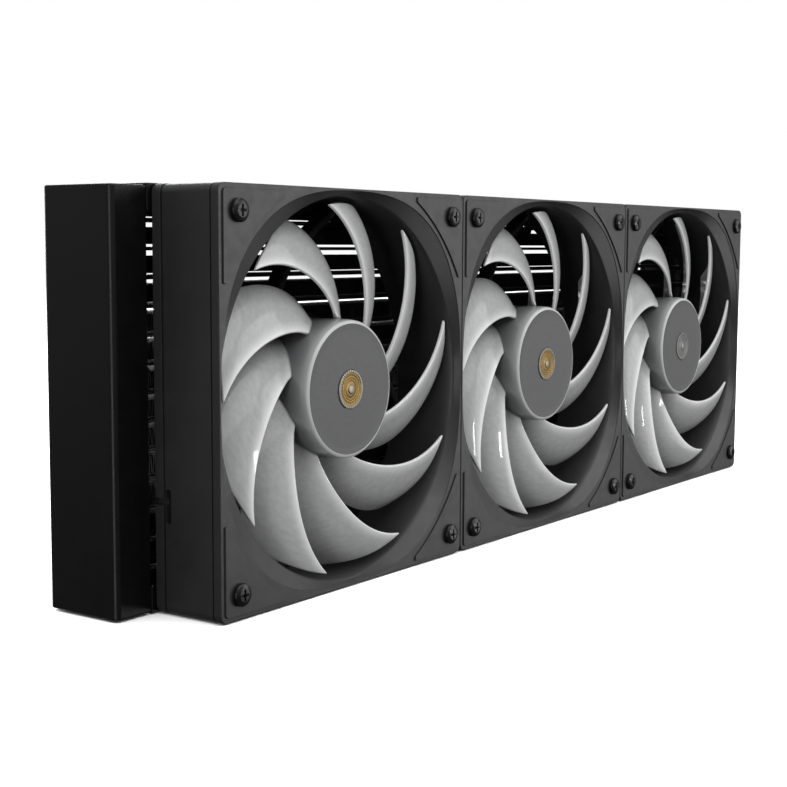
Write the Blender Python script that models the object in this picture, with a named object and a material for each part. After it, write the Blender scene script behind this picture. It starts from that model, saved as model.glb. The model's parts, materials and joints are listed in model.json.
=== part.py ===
"""A 360 mm liquid cooling radiator with three 120 mm fans.

X runs along the radiator, the fans face -Y and the radiator stands on its long narrow side, +Z up.
The origin is on the underside, below the middle fan, half way through the radiator's thickness.
Run with: blender --background --python part.py
"""

import math

import bmesh
import bpy
from mathutils import Vector

MM = 0.001

# Facets round a full turn
LARGE_ROUND = 48
MEDIUM_ROUND = 24
SMALL_ROUND = 16
TINY_ROUND = 12
HOLE_ROUND = 8

# Clearances
TOUCH_GAP = 0.3 * MM
BOOLEAN_OVERLAP = 0.4 * MM

# Fan frame. Depths are measured from the front of the corner pads towards the radiator.
FAN_COUNT = 3
FAN_PITCH = 120 * MM
CORNERS = ((-1, 1), (1, 1), (1, -1), (-1, -1))
FRAME_SIDE = FAN_PITCH - TOUCH_GAP
FRAME_DEPTH = 25 * MM
FRAME_CORNER_RADIUS = 2.5 * MM
FRAME_CORNER_STEPS = 2
FLANGE_DEPTH = 3.2 * MM
GROOVE_WIDTH = 0.6 * MM
GROOVE_INSET = 0.8 * MM
PANEL_INSET = 0.15 * MM
PAD_RISE = 0.5 * MM
PAD_EDGE = 58.4 * MM
PAD_LEG_END = 33.5 * MM
PAD_ARC_RADIUS = 65.4 * MM
PAD_ARC_STEPS = 5
INLET_HALF_SIDE = 59.1 * MM
INLET_EXPONENT = 2.6
INLET_LIP_DEPTH = 2.5 * MM
INLET_LIP_RADIUS = 58.3 * MM
BORE_START_DEPTH = 7 * MM
BORE_RADIUS = 57.2 * MM
SCREW_OFFSET = 52.5 * MM
FRAME_HOLE_RADIUS = 2.3 * MM
CABLE_SLOT_SIZE = Vector((5, 9.6, 2)) * MM
CABLE_SLOT_HEIGHT = -29.2 * MM
CABLE_SLOT_DEPTH = 20 * MM

# Motor seat and struts, moulded with the frame
SEAT_RADIUS = 22.5 * MM
SEAT_WALL = 1.4 * MM
SEAT_RIM_DEPTH = 19.8 * MM
SEAT_FLOOR_DEPTH = 23.2 * MM
BEARING_TUBE_RADIUS = 4.6 * MM
BEARING_TUBE_BORE = 3.4 * MM
BEARING_TUBE_FRONT = 7 * MM
STRUT_COUNT = 4
STRUT_OUTER_ANGLE = 73
STRUT_SWEEP = 58
STRUT_CURL = 0.75
STRUT_THICKNESS = 2.4 * MM
STRUT_FRONT_DEPTH = 19.6 * MM
STRUT_STEPS = 4

# Impeller
BLADE_COUNT = 9
BLADE_TIP_ANGLE = 19.6
BLADE_TIP_RADIUS = 55.9 * MM
BLADE_ROOT_RADIUS = 20.2 * MM
LEADING_SWEEP = (57.2, -31.9, 31.0)
LEADING_DEPTH = (2.6, 3.6, -1.5, 3.6)
CHORD_ANGLE = (28.2, 4.5, -0.5)
TRAILING_DEPTH = (14.6, -7.0, 10.4)
CAMBER = (0.34, 0.25)
BLADE_THICKNESS = 1.5 * MM
BLADE_EDGE_THICKNESS = 0.7 * MM
BLADE_NOSE_SHIFT = 0.1
BLADE_SPAN_STEPS = 4
BLADE_CHORD_STEPS = 3
HUB_RADIUS = 21.1 * MM
HUB_SHOULDER = 1.3 * MM
HUB_WALL = 1.4 * MM
HUB_FRONT_DEPTH = 1.7 * MM
HUB_REAR_DEPTH = 18.8 * MM
HUB_FACE_WALL = 2.2 * MM
HUB_BOSS_RADIUS = 3.6 * MM
HUB_BOSS_LENGTH = 2.6 * MM
BADGE_RADIUS = 5.9 * MM
BADGE_THICKNESS = 0.5 * MM
BADGE_RECESS = 0.6 * MM

# Motor
ROTOR_RING_WALL = 1.8 * MM
ROTOR_RING_FRONT = 5 * MM
ROTOR_RING_REAR = 18 * MM
SHAFT_RADIUS = 1.5 * MM
SHAFT_REAR_DEPTH = 21.5 * MM
BEARING_BORE = 1.65 * MM
BEARING_FRONT = 7.6 * MM
BEARING_REAR = 20.5 * MM
STATOR_RADIUS = 16.6 * MM
STATOR_YOKE_RADIUS = 8 * MM
STATOR_POLE_HALF_WIDTH = 4 * MM
STATOR_SHOE_DEPTH = 3 * MM
STATOR_SHOE_HALF_ANGLE = 36
STATOR_FRONT = 8 * MM
STATOR_REAR = 17 * MM
BOARD_RADIUS = 18 * MM
BOARD_FRONT = 21 * MM
BOARD_THICKNESS = 1.2 * MM

# Screws
SCREW_RADIUS = 1.45 * MM
SCREW_REACH = 3.8 * MM
SCREW_HEAD_RADIUS = 3.1 * MM
SCREW_HEAD_HEIGHT = 1.9 * MM
SCREW_HEAD_SIDE = 1.05 * MM
SCREW_CROWN_RADIUS = 2.25 * MM
SCREW_CROWN_DROP = 0.15 * MM
SCREW_SLOT = Vector((3.4, 0.8, 2.2)) * MM

# Radiator
RADIATOR_HEIGHT = 120 * MM
RADIATOR_DEPTH = 27 * MM
NEAR_TANK_END = -194.7 * MM
FAR_TANK_END = 199.3 * MM
TANK_MOUTH = 181.7 * MM
TANK_WALL = 1.5 * MM
TANK_INSET = 0.6 * MM
TANK_EDGE_RADIUS = 1.8 * MM
TANK_EDGE_STEPS = 4
HEADER_THICKNESS = 1.2 * MM
HEADER_INSET = 0.6 * MM
TUBE_COUNT = 14
TUBE_PITCH = 8.06 * MM
TOP_TUBE_HEIGHT = 110.1 * MM
TUBE_THICKNESS = 1 * MM
TUBE_WALL = 0.25 * MM
TUBE_DEPTH = 18 * MM
TUBE_END = 184.4 * MM
FIN_DEPTH = 18 * MM
FIN_SHEET = 0.25 * MM
FIN_FOLDS = 18
FIN_END = 180.5 * MM
RAIL_END = 181.2 * MM
RAIL_SHEET = 1.2 * MM
RAIL_FLANGE = 8.2 * MM
RAIL_TAB_HEIGHT = 13.5 * MM
RAIL_TAB_REACH = 6.1 * MM
RAIL_TAB_END_REACH = 4 * MM
RAIL_TAB_SLOPE = 1.2 * MM
RAIL_HOLE_RADIUS = 1.75 * MM
BAFFLE_THICKNESS = 1.2 * MM
PORT_HEIGHTS = {"inlet_fitting": 92 * MM, "outlet_fitting": 28 * MM}
PORT_RADIUS = 5.2 * MM
FITTING_BORE = 3.4 * MM
FITTING_SHANK = 4.9 * MM
FITTING_FLANGE = 8 * MM
FITTING_FLANGE_DEPTH = 3 * MM
FITTING_BARB = 5.6 * MM
FITTING_BARB_LENGTH = 4 * MM
FITTING_BARBS = 2
FILL_PLUG_HEIGHT = 111 * MM
FILL_PLUG_RADIUS = 4 * MM
FILL_PLUG_SHANK = 2.4 * MM
FILL_PLUG_HEAD = 1.6 * MM
FILL_PLUG_SLOT = Vector((9, 1, 1.6)) * MM

FRONT_PLANE = -RADIATOR_DEPTH / 2
FAN_FRONT = FRONT_PLANE - TOUCH_GAP - FRAME_DEPTH
FAN_AXIS_HEIGHT = RADIATOR_HEIGHT / 2

MATERIALS = {
    "black_frame_plastic": ((0.055, 0.056, 0.060), 0.55, 0.0),
    "frosted_blade_plastic": ((0.62, 0.64, 0.66), 0.32, 0.0),
    "brass_badge": ((0.55, 0.42, 0.17), 0.35, 1.0),
    "grey_badge": ((0.16, 0.16, 0.165), 0.35, 0.6),
    "motor_steel": ((0.42, 0.43, 0.45), 0.38, 1.0),
    "bearing_bronze": ((0.50, 0.33, 0.16), 0.40, 1.0),
    "copper_windings": ((0.62, 0.27, 0.12), 0.42, 0.6),
    "board_green": ((0.03, 0.14, 0.06), 0.50, 0.0),
    "black_screw_steel": ((0.02, 0.02, 0.022), 0.28, 0.8),
    "black_tank_paint": ((0.018, 0.018, 0.020), 0.42, 0.0),
    "black_core_aluminium": ((0.022, 0.022, 0.024), 0.50, 0.3),
    "fitting_nickel": ((0.45, 0.45, 0.47), 0.25, 1.0),
}

BADGE_MATERIALS = ("brass_badge", "brass_badge", "grey_badge")


# Scene helpers


def clear_scene():
    for obj in list(bpy.data.objects):
        bpy.data.objects.remove(obj, do_unlink=True)


def make_materials():
    made = {}
    for name, (colour, roughness, metallic) in MATERIALS.items():
        material = bpy.data.materials.new(name)
        material.use_nodes = True
        shader = material.node_tree.nodes["Principled BSDF"]
        shader.inputs["Base Color"].default_value = (*colour, 1)
        shader.inputs["Roughness"].default_value = roughness
        shader.inputs["Metallic"].default_value = metallic
        made[name] = material
    return made


def link(obj):
    bpy.context.scene.collection.objects.link(obj)
    return obj


def helper(name, mesh):
    """A cutter, or a piece that is joined to another: never rendered."""
    obj = link(bpy.data.objects.new(name, mesh))
    obj.hide_render = True
    obj.display_type = "WIRE"
    return obj


def part(name, mesh, material, parent=None, location=(0, 0, 0)):
    if not mesh.materials:
        mesh.materials.append(material)
    obj = link(bpy.data.objects.new(name, mesh))
    obj.parent = parent
    obj.location = location
    return obj


def mesh_from(bm, name, smooth=False):
    bmesh.ops.recalc_face_normals(bm, faces=bm.faces)
    for face in bm.faces:
        face.smooth = smooth
    mesh = bpy.data.meshes.new(name)
    bm.to_mesh(mesh)
    bm.free()
    return mesh


def combined(name, base, steps, smooth_angle=None):
    """The mesh of base after Boolean steps, each (operation, mesh)."""
    target = helper(name + "_base", base)
    tools = []
    for operation, mesh in steps:
        tool = helper(f"{name}_tool_{len(tools)}", mesh)
        modifier = target.modifiers.new(operation.lower(), "BOOLEAN")
        modifier.operation = operation
        modifier.solver = "EXACT"
        modifier.object = tool
        tools.append(tool)
    graph = bpy.context.evaluated_depsgraph_get()
    mesh = bpy.data.meshes.new_from_object(target.evaluated_get(graph))
    mesh.name = name
    mesh.materials.clear()
    for obj in (target, *tools):
        bpy.data.objects.remove(obj, do_unlink=True)
    if smooth_angle is not None:
        mesh.shade_smooth()
        mesh.set_sharp_from_angle(angle=math.radians(smooth_angle))
    return mesh


# Shape helpers


def circle(radius, steps, height):
    angles = [2 * math.pi * i / steps for i in range(steps)]
    return [Vector((radius * math.cos(a), radius * math.sin(a), height)) for a in angles]


def quarter_turned(x, y, quarters):
    """A point of the XY plane turned round the origin by quarter turns."""
    for _ in range(quarters):
        x, y = -y, x
    return x, y


def squircle(half_side, exponent, steps, height):
    """A superellipse, sampled at even angles."""
    points = []
    for i in range(steps):
        angle = 2 * math.pi * i / steps
        reach = abs(math.cos(angle)) ** exponent + abs(math.sin(angle)) ** exponent
        radius = half_side * reach ** (-1 / exponent)
        points.append(Vector((radius * math.cos(angle), radius * math.sin(angle), height)))
    return points


def rounded_square(half_side, radius, corner_steps, height):
    points = []
    for quarter in range(4):
        for i in range(corner_steps + 1):
            angle = math.pi / 2 * i / corner_steps
            x = half_side - radius + radius * math.cos(angle)
            y = half_side - radius + radius * math.sin(angle)
            points.append(Vector((*quarter_turned(x, y, quarter), height)))
    return points


def skin(bm, loops, ring=False):
    """Bridges loops of equal length. Both ends are capped, or joined to each other in a ring."""
    rows = [[bm.verts.new(point) for point in loop] for loop in loops]
    pairs = list(zip(rows, rows[1:]))
    if ring:
        pairs.append((rows[-1], rows[0]))
    else:
        bm.faces.new(reversed(rows[0]))
        bm.faces.new(rows[-1])
    for low, high in pairs:
        for i in range(len(low)):
            j = (i + 1) % len(low)
            bm.faces.new((low[i], low[j], high[j], high[i]))


def lofted(name, loops, ring=False, smooth=False):
    bm = bmesh.new()
    skin(bm, loops, ring)
    return mesh_from(bm, name, smooth)


def turned(name, profile, steps, smooth_angle=40):
    """A ring or a disc turned round Z from a profile of (radius, height) points.

    A profile that starts and ends on the axis makes a disc; any other is closed into a ring.
    """
    on_axis = profile[0][0] == 0
    bm = bmesh.new()
    if on_axis:
        rows = [[bm.verts.new(p) for p in circle(r, steps, z)] for r, z in profile[1:-1]]
        for low, high in zip(rows, rows[1:]):
            for i in range(steps):
                j = (i + 1) % steps
                bm.faces.new((low[i], low[j], high[j], high[i]))
        for end, row in ((profile[0], rows[0]), (profile[-1], rows[-1])):
            pole = bm.verts.new((0, 0, end[1]))
            for i in range(steps):
                bm.faces.new((row[i], row[(i + 1) % steps], pole))
    else:
        skin(bm, [circle(r, steps, z) for r, z in profile], ring=True)
    mesh = mesh_from(bm, name, smooth=True)
    mesh.set_sharp_from_angle(angle=math.radians(smooth_angle))
    return mesh


def cylinder(name, radius, low, high, steps):
    return lofted(name, [circle(radius, steps, low), circle(radius, steps, high)])


def prism(name, outline, low, high):
    """An outline of (x, y) points extruded along Z."""
    return lofted(name, [[Vector((x, y, z)) for x, y in outline] for z in (low, high)])


def box_into(bm, low, high):
    middle = (Vector(low) + Vector(high)) / 2
    size = Vector(high) - Vector(low)
    made = bmesh.ops.create_cube(bm, size=1)["verts"]
    bmesh.ops.scale(bm, vec=size, verts=made)
    bmesh.ops.translate(bm, vec=middle, verts=made)


def box(name, low, high):
    bm = bmesh.new()
    box_into(bm, low, high)
    return mesh_from(bm, name)


def polynomial(coefficients, value):
    return sum(c * value**power for power, c in enumerate(coefficients))


# Fan frame


def frame_block():
    """The square block between the flanges, with a groove behind each flange, on every side."""
    rear = FRAME_DEPTH
    steps = [
        (PAD_RISE, 0),
        (FLANGE_DEPTH, 0),
        (FLANGE_DEPTH, GROOVE_INSET),
        (FLANGE_DEPTH + GROOVE_WIDTH, GROOVE_INSET),
        (FLANGE_DEPTH + GROOVE_WIDTH, PANEL_INSET),
        (rear - FLANGE_DEPTH - GROOVE_WIDTH, PANEL_INSET),
        (rear - FLANGE_DEPTH - GROOVE_WIDTH, GROOVE_INSET),
        (rear - FLANGE_DEPTH, GROOVE_INSET),
        (rear - FLANGE_DEPTH, 0),
        (rear, 0),
    ]
    loops = []
    for depth, inset in steps:
        half = FRAME_SIDE / 2 - inset
        loops.append(rounded_square(half, FRAME_CORNER_RADIUS, FRAME_CORNER_STEPS, -depth))
    return lofted("frame_block", loops)


def inlet_cutter():
    """The bore: a squircle inlet that closes to a circle and then to the straight bore."""
    spread = (INLET_HALF_SIDE - INLET_LIP_RADIUS) / (INLET_LIP_DEPTH - PAD_RISE)
    loops = [
        squircle(INLET_HALF_SIDE + spread * PAD_RISE, INLET_EXPONENT, LARGE_ROUND, 0),
        squircle(INLET_HALF_SIDE, INLET_EXPONENT, LARGE_ROUND, -PAD_RISE),
        circle(INLET_LIP_RADIUS, LARGE_ROUND, -INLET_LIP_DEPTH),
        circle(BORE_RADIUS, LARGE_ROUND, -BORE_START_DEPTH),
        circle(BORE_RADIUS, LARGE_ROUND, -FRAME_DEPTH - MM),
    ]
    return lofted("inlet_cutter", loops)


def corner_pads():
    """Four raised pads: each has two straight legs along the edges and an arc round the inlet."""
    start = math.asin(PAD_LEG_END / PAD_ARC_RADIUS)
    outline = [(PAD_EDGE, PAD_EDGE), (PAD_LEG_END, PAD_EDGE)]
    for i in range(1, PAD_ARC_STEPS):
        angle = math.pi / 2 - start - (math.pi / 2 - 2 * start) * i / PAD_ARC_STEPS
        outline.append((PAD_ARC_RADIUS * math.cos(angle), PAD_ARC_RADIUS * math.sin(angle)))
    outline.append((PAD_EDGE, PAD_LEG_END))
    bm = bmesh.new()
    for x_sign, y_sign in CORNERS:
        corner = [(x * x_sign, y * y_sign) for x, y in outline]
        skin(bm, [[Vector((x, y, z)) for x, y in corner] for z in (-PAD_RISE - BOOLEAN_OVERLAP, 0)])
    return mesh_from(bm, "corner_pads")


def strut_angle(share):
    """Angle of a strut's middle line, in radians. Share is 0 at the bore and 1 at the seat."""
    return math.radians(STRUT_OUTER_ANGLE + STRUT_SWEEP * share ** (1 / STRUT_CURL))


def struts():
    """Curved arms from the bore's wall to the motor seat."""
    outer = BORE_RADIUS + BOOLEAN_OVERLAP
    inner = SEAT_RADIUS - SEAT_WALL / 2
    line = []
    for i in range(STRUT_STEPS + 1):
        share = i / STRUT_STEPS
        radius = outer + (inner - outer) * share
        angle = strut_angle(share)
        line.append(Vector((radius * math.cos(angle), radius * math.sin(angle))))
    sides = ([], [])
    for i, point in enumerate(line):
        along = (line[min(i + 1, STRUT_STEPS)] - line[max(i - 1, 0)]).normalized()
        across = Vector((-along.y, along.x)) * STRUT_THICKNESS / 2
        sides[0].append(point + across)
        sides[1].append(point - across)
    outline = sides[0] + sides[1][::-1]
    bm = bmesh.new()
    for quarters in range(STRUT_COUNT):
        arm = [quarter_turned(point.x, point.y, quarters) for point in outline]
        depths = (STRUT_FRONT_DEPTH, FRAME_DEPTH)
        skin(bm, [[Vector((x, y, -depth)) for x, y in arm] for depth in depths])
    return mesh_from(bm, "struts")


def motor_seat():
    """A shallow cup, open to the front, with the bearing tube standing in it."""
    profile = [
        (SEAT_RADIUS, -SEAT_RIM_DEPTH),
        (SEAT_RADIUS, -FRAME_DEPTH),
        (BEARING_TUBE_BORE, -FRAME_DEPTH),
        (BEARING_TUBE_BORE, -BEARING_TUBE_FRONT),
        (BEARING_TUBE_RADIUS, -BEARING_TUBE_FRONT),
        (BEARING_TUBE_RADIUS, -SEAT_FLOOR_DEPTH),
        (SEAT_RADIUS - SEAT_WALL, -SEAT_FLOOR_DEPTH),
        (SEAT_RADIUS - SEAT_WALL, -SEAT_RIM_DEPTH),
    ]
    return turned("motor_seat", profile, MEDIUM_ROUND)


def frame_hole_cutters():
    """The four screw holes and the cable slot in the left side."""
    bm = bmesh.new()
    for x_sign, y_sign in CORNERS:
        centre = Vector((x_sign * SCREW_OFFSET, y_sign * SCREW_OFFSET, 0))
        loops = [circle(FRAME_HOLE_RADIUS, HOLE_ROUND, z) for z in (-FRAME_DEPTH - MM, MM)]
        skin(bm, [[point + centre for point in loop] for loop in loops])
    slot_middle = Vector((-FRAME_SIDE / 2, CABLE_SLOT_HEIGHT, -CABLE_SLOT_DEPTH))
    box_into(bm, slot_middle - CABLE_SLOT_SIZE / 2, slot_middle + CABLE_SLOT_SIZE / 2)
    return mesh_from(bm, "frame_hole_cutters")


def fan_frame():
    steps = [
        ("UNION", corner_pads()),
        ("DIFFERENCE", inlet_cutter()),
        ("UNION", struts()),
        ("UNION", motor_seat()),
        ("DIFFERENCE", frame_hole_cutters()),
    ]
    return combined("fan_frame", frame_block(), steps, smooth_angle=25)


# Impeller


def blade_point(span, chord, offset, turn):
    """A point of a blade. Span is 0 at the tip and 1 at the root, chord 0 at the leading edge."""
    radius = BLADE_TIP_RADIUS + (BLADE_ROOT_RADIUS - BLADE_TIP_RADIUS) * span
    leading = polynomial((0, *LEADING_SWEEP), span)
    angle = BLADE_TIP_ANGLE - leading - polynomial(CHORD_ANGLE, span) * chord
    front = polynomial(LEADING_DEPTH, span)
    rear = polynomial(TRAILING_DEPTH, span)
    camber = polynomial(CAMBER, span)
    depth = (front + (rear - front) * (camber * chord + (1 - camber) * chord**3)) * MM + offset
    turned_angle = math.radians(angle) + turn
    return Vector((radius * math.cos(turned_angle), radius * math.sin(turned_angle), -depth))


def blade_into(bm, turn):
    """A closed blade: a front and a back sheet, joined round their edge."""
    sheets = []
    for side in (0, 1):
        sheet = []
        for i in range(BLADE_SPAN_STEPS + 1):
            row = []
            for j in range(BLADE_CHORD_STEPS + 1):
                chord = j / BLADE_CHORD_STEPS
                fullness = math.sin(math.pi * min(1, chord + BLADE_NOSE_SHIFT))
                thickness = BLADE_EDGE_THICKNESS + (BLADE_THICKNESS - BLADE_EDGE_THICKNESS) * fullness
                point = blade_point(i / BLADE_SPAN_STEPS, chord, side * thickness, turn)
                row.append(bm.verts.new(point))
            sheet.append(row)
        sheets.append(sheet)
    front, back = sheets
    for i in range(BLADE_SPAN_STEPS):
        for j in range(BLADE_CHORD_STEPS):
            bm.faces.new((front[i][j], front[i + 1][j], front[i + 1][j + 1], front[i][j + 1]))
            bm.faces.new((back[i][j], back[i][j + 1], back[i + 1][j + 1], back[i + 1][j]))
    last = (BLADE_SPAN_STEPS, BLADE_CHORD_STEPS)
    edge = [(0, j) for j in range(last[1])] + [(i, last[1]) for i in range(last[0])]
    edge += [(last[0], j) for j in range(last[1], 0, -1)] + [(i, 0) for i in range(last[0], 0, -1)]
    for (i, j), (k, m) in zip(edge, edge[1:] + edge[:1]):
        bm.faces.new((front[i][j], front[k][m], back[k][m], back[i][j]))


def blades():
    bm = bmesh.new()
    for i in range(BLADE_COUNT):
        blade_into(bm, 2 * math.pi * i / BLADE_COUNT)
    return mesh_from(bm, "blades", smooth=True)


def hub():
    """The hub cup, open to the rear, with a boss for the shaft and a recess for the badge."""
    inner = HUB_RADIUS - HUB_WALL
    face_back = -HUB_FRONT_DEPTH - HUB_FACE_WALL
    boss_back = face_back - HUB_BOSS_LENGTH
    socket = SHAFT_RADIUS + TOUCH_GAP
    recess = BADGE_RADIUS + TOUCH_GAP
    bulge = HUB_SHOULDER * (1 - math.sqrt(0.5))
    profile = [
        (0, -HUB_FRONT_DEPTH - BADGE_RECESS),
        (recess, -HUB_FRONT_DEPTH - BADGE_RECESS),
        (recess, -HUB_FRONT_DEPTH),
        (HUB_RADIUS - HUB_SHOULDER, -HUB_FRONT_DEPTH),
        (HUB_RADIUS - bulge, -HUB_FRONT_DEPTH - bulge),
        (HUB_RADIUS, -HUB_FRONT_DEPTH - HUB_SHOULDER),
        (HUB_RADIUS, -HUB_REAR_DEPTH),
        (inner, -HUB_REAR_DEPTH),
        (inner, face_back),
        (HUB_BOSS_RADIUS, face_back),
        (HUB_BOSS_RADIUS, boss_back),
        (socket, boss_back),
        (socket, face_back),
        (0, face_back),
    ]
    return turned("hub", profile, MEDIUM_ROUND)


def impeller():
    """The hub with its blades, whose roots end inside the hub's wall."""
    return combined("impeller", hub(), [("UNION", blades())], smooth_angle=35)


# Motor and screws


def badge():
    front = -HUB_FRONT_DEPTH + BADGE_THICKNESS + TOUCH_GAP - BADGE_RECESS
    back = front - BADGE_THICKNESS
    corners = [(0, back), (BADGE_RADIUS, back), (BADGE_RADIUS, front), (0, front)]
    return turned("hub_badge", corners, MEDIUM_ROUND)


def ring(name, outer, inner, front_depth, rear_depth, steps):
    corners = [(outer, -rear_depth), (outer, -front_depth), (inner, -front_depth), (inner, -rear_depth)]
    return turned(name, corners, steps)


def rotor_ring():
    outer = HUB_RADIUS - HUB_WALL - TOUCH_GAP
    inner = outer - ROTOR_RING_WALL
    return ring("rotor_ring", outer, inner, ROTOR_RING_FRONT, ROTOR_RING_REAR, MEDIUM_ROUND)


def bearing():
    outer = BEARING_TUBE_BORE - TOUCH_GAP
    return ring("bearing", outer, BEARING_BORE, BEARING_FRONT, BEARING_REAR, SMALL_ROUND)


def circuit_board():
    inner = BEARING_TUBE_RADIUS + TOUCH_GAP
    rear = BOARD_FRONT + BOARD_THICKNESS
    return ring("circuit_board", BOARD_RADIUS, inner, BOARD_FRONT, rear, SMALL_ROUND)


def shaft():
    front = -HUB_FRONT_DEPTH - HUB_FACE_WALL - TOUCH_GAP
    rear = -SHAFT_REAR_DEPTH
    corners = [(0, rear), (SHAFT_RADIUS, rear), (SHAFT_RADIUS, front), (0, front)]
    return turned("shaft", corners, TINY_ROUND)


def stator():
    """Four T-shaped poles round a yoke, bored for the bearing tube."""
    neck = STATOR_RADIUS - STATOR_SHOE_DEPTH
    root = math.sqrt(STATOR_YOKE_RADIUS**2 - STATOR_POLE_HALF_WIDTH**2)
    pole = [(root, -STATOR_POLE_HALF_WIDTH), (neck, -STATOR_POLE_HALF_WIDTH)]
    for share in (-1, -1 / 3, 1 / 3, 1):
        angle = math.radians(STATOR_SHOE_HALF_ANGLE * share)
        pole.append((STATOR_RADIUS * math.cos(angle), STATOR_RADIUS * math.sin(angle)))
    pole += [(neck, STATOR_POLE_HALF_WIDTH), (root, STATOR_POLE_HALF_WIDTH)]
    outline = [quarter_turned(x, y, quarters) for quarters in range(4) for x, y in pole]
    body = prism("stator_body", outline, -STATOR_REAR, -STATOR_FRONT)
    bore_radius = BEARING_TUBE_RADIUS + TOUCH_GAP
    bore = cylinder("stator_bore", bore_radius, -STATOR_REAR - MM, -STATOR_FRONT + MM, SMALL_ROUND)
    return combined("stator", body, [("DIFFERENCE", bore)])


def screw():
    """A pan-head screw with a cross recess. Its origin is under the head, and the head points along +Z."""
    seat = TOUCH_GAP
    top = seat + SCREW_HEAD_HEIGHT
    tip = -FRAME_DEPTH - TOUCH_GAP - SCREW_REACH
    profile = [
        (0, tip),
        (SCREW_RADIUS, tip),
        (SCREW_RADIUS, seat),
        (SCREW_HEAD_RADIUS, seat),
        (SCREW_HEAD_RADIUS, seat + SCREW_HEAD_SIDE),
        (SCREW_CROWN_RADIUS, top - SCREW_CROWN_DROP),
        (0, top),
    ]
    middle = Vector((0, 0, top))
    steps = []
    for size in (SCREW_SLOT, SCREW_SLOT.yxz):
        steps.append(("DIFFERENCE", box("screw_slot", middle - size / 2, middle + size / 2)))
    return combined("screw", turned("screw_body", profile, TINY_ROUND), steps, smooth_angle=35)


# Radiator


def fan_middle(index):
    """X of a fan's axis, counted from 0 at the left."""
    return FAN_PITCH * (index - (FAN_COUNT - 1) / 2)


def tank_outline(end, sign):
    """(x, y) points of a tank from above: square at its mouth and rounded at its end."""
    half_y = RADIATOR_DEPTH / 2
    rounded = []
    for i in range(TANK_EDGE_STEPS + 1):
        angle = math.pi / 2 * i / TANK_EDGE_STEPS
        x = end - sign * TANK_EDGE_RADIUS * (1 - math.sin(angle))
        rounded.append((x, half_y - TANK_EDGE_RADIUS * (1 - math.cos(angle))))
    side = [(sign * TANK_MOUTH, half_y), *rounded]
    return [(x, -y) for x, y in side] + side[::-1]


def tank(name, end, sign):
    """An end tank, open towards the core: its shell and the Boolean steps that hollow it."""
    half_y = RADIATOR_DEPTH / 2
    low, high = TANK_INSET, RADIATOR_HEIGHT - TANK_INSET
    inside = sorted((sign * (TANK_MOUTH - MM), end - sign * TANK_WALL))
    hollow = box(
        name + "_hollow",
        (inside[0], TANK_WALL - half_y, low + TANK_WALL),
        (inside[1], half_y - TANK_WALL, high - TANK_WALL),
    )
    shell = prism(name + "_shell", tank_outline(end, sign), low, high)
    return shell, [("DIFFERENCE", hollow)]


def along_x(mesh, location):
    """Turns a mesh from +Z to +X and moves it."""
    for vertex in mesh.vertices:
        x, y, z = vertex.co
        vertex.co = (z + location[0], y + location[1], location[2] - x)
    return mesh


def near_tank():
    shell, steps = tank("near_tank", NEAR_TANK_END, -1)
    return combined("near_tank", shell, steps, smooth_angle=30)


def far_tank():
    shell, steps = tank("far_tank", FAR_TANK_END, 1)
    holes = [(height, PORT_RADIUS) for height in PORT_HEIGHTS.values()]
    holes.append((FILL_PLUG_HEIGHT, FILL_PLUG_SHANK + TOUCH_GAP))
    for height, radius in holes:
        hole = cylinder("port_hole", radius, -TANK_WALL - MM, MM, SMALL_ROUND)
        steps.append(("DIFFERENCE", along_x(hole, (FAR_TANK_END, 0, height))))
    return combined("far_tank", shell, steps, smooth_angle=30)


def tube_heights():
    return [TOP_TUBE_HEIGHT - TUBE_PITCH * i for i in reversed(range(TUBE_COUNT))]


def flat_tube(depth, thickness, end, height):
    """A flat oval loop pair along X."""
    half = thickness / 2
    outline = []
    for side in (1, -1):
        for angle in (-90, 0, 90):
            y = side * (depth / 2 - half) + side * half * math.cos(math.radians(angle))
            z = side * half * math.sin(math.radians(angle))
            outline.append((y, z + height))
    return [[Vector((x, y, z)) for y, z in outline] for x in (-end, end)]


def tube_bank():
    """Flat tubes brazed through a header plate at each end, open into the tanks."""
    half_y = RADIATOR_DEPTH / 2 - TANK_WALL - TOUCH_GAP
    low = TANK_INSET + TANK_WALL + TOUCH_GAP
    plate_start = TANK_MOUTH + HEADER_INSET
    plates = bmesh.new()
    for sign in (-1, 1):
        ends = sorted((sign * plate_start, sign * (plate_start + HEADER_THICKNESS)))
        box_into(plates, (ends[0], -half_y, low), (ends[1], half_y, RADIATOR_HEIGHT - low))
    tubes = bmesh.new()
    bores = bmesh.new()
    for height in tube_heights():
        skin(tubes, flat_tube(TUBE_DEPTH, TUBE_THICKNESS, TUBE_END, height))
        inner = TUBE_WALL * 2
        skin(bores, flat_tube(TUBE_DEPTH - inner, TUBE_THICKNESS - inner, TUBE_END + MM, height))
    steps = [("UNION", mesh_from(tubes, "tubes")), ("DIFFERENCE", mesh_from(bores, "tube_bores"))]
    return combined("tube_bank", mesh_from(plates, "header_plates"), steps, smooth_angle=35)


def fin_row(low, high):
    """A folded sheet: walls that climb and fall between two heights, extruded through the core."""
    half_sheet = FIN_SHEET / 2
    step = 2 * FIN_END / FIN_FOLDS
    heights = (low + 2 * half_sheet, high - 2 * half_sheet)
    line = [Vector((-FIN_END + step * i, heights[i % 2])) for i in range(FIN_FOLDS + 1)]
    outline = [p + Vector((0, half_sheet)) for p in line]
    outline += [p - Vector((0, half_sheet)) for p in reversed(line)]
    loops = [[Vector((p.x, y, p.y)) for p in outline] for y in (-FIN_DEPTH / 2, FIN_DEPTH / 2)]
    return lofted("fin_row", loops)


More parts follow.
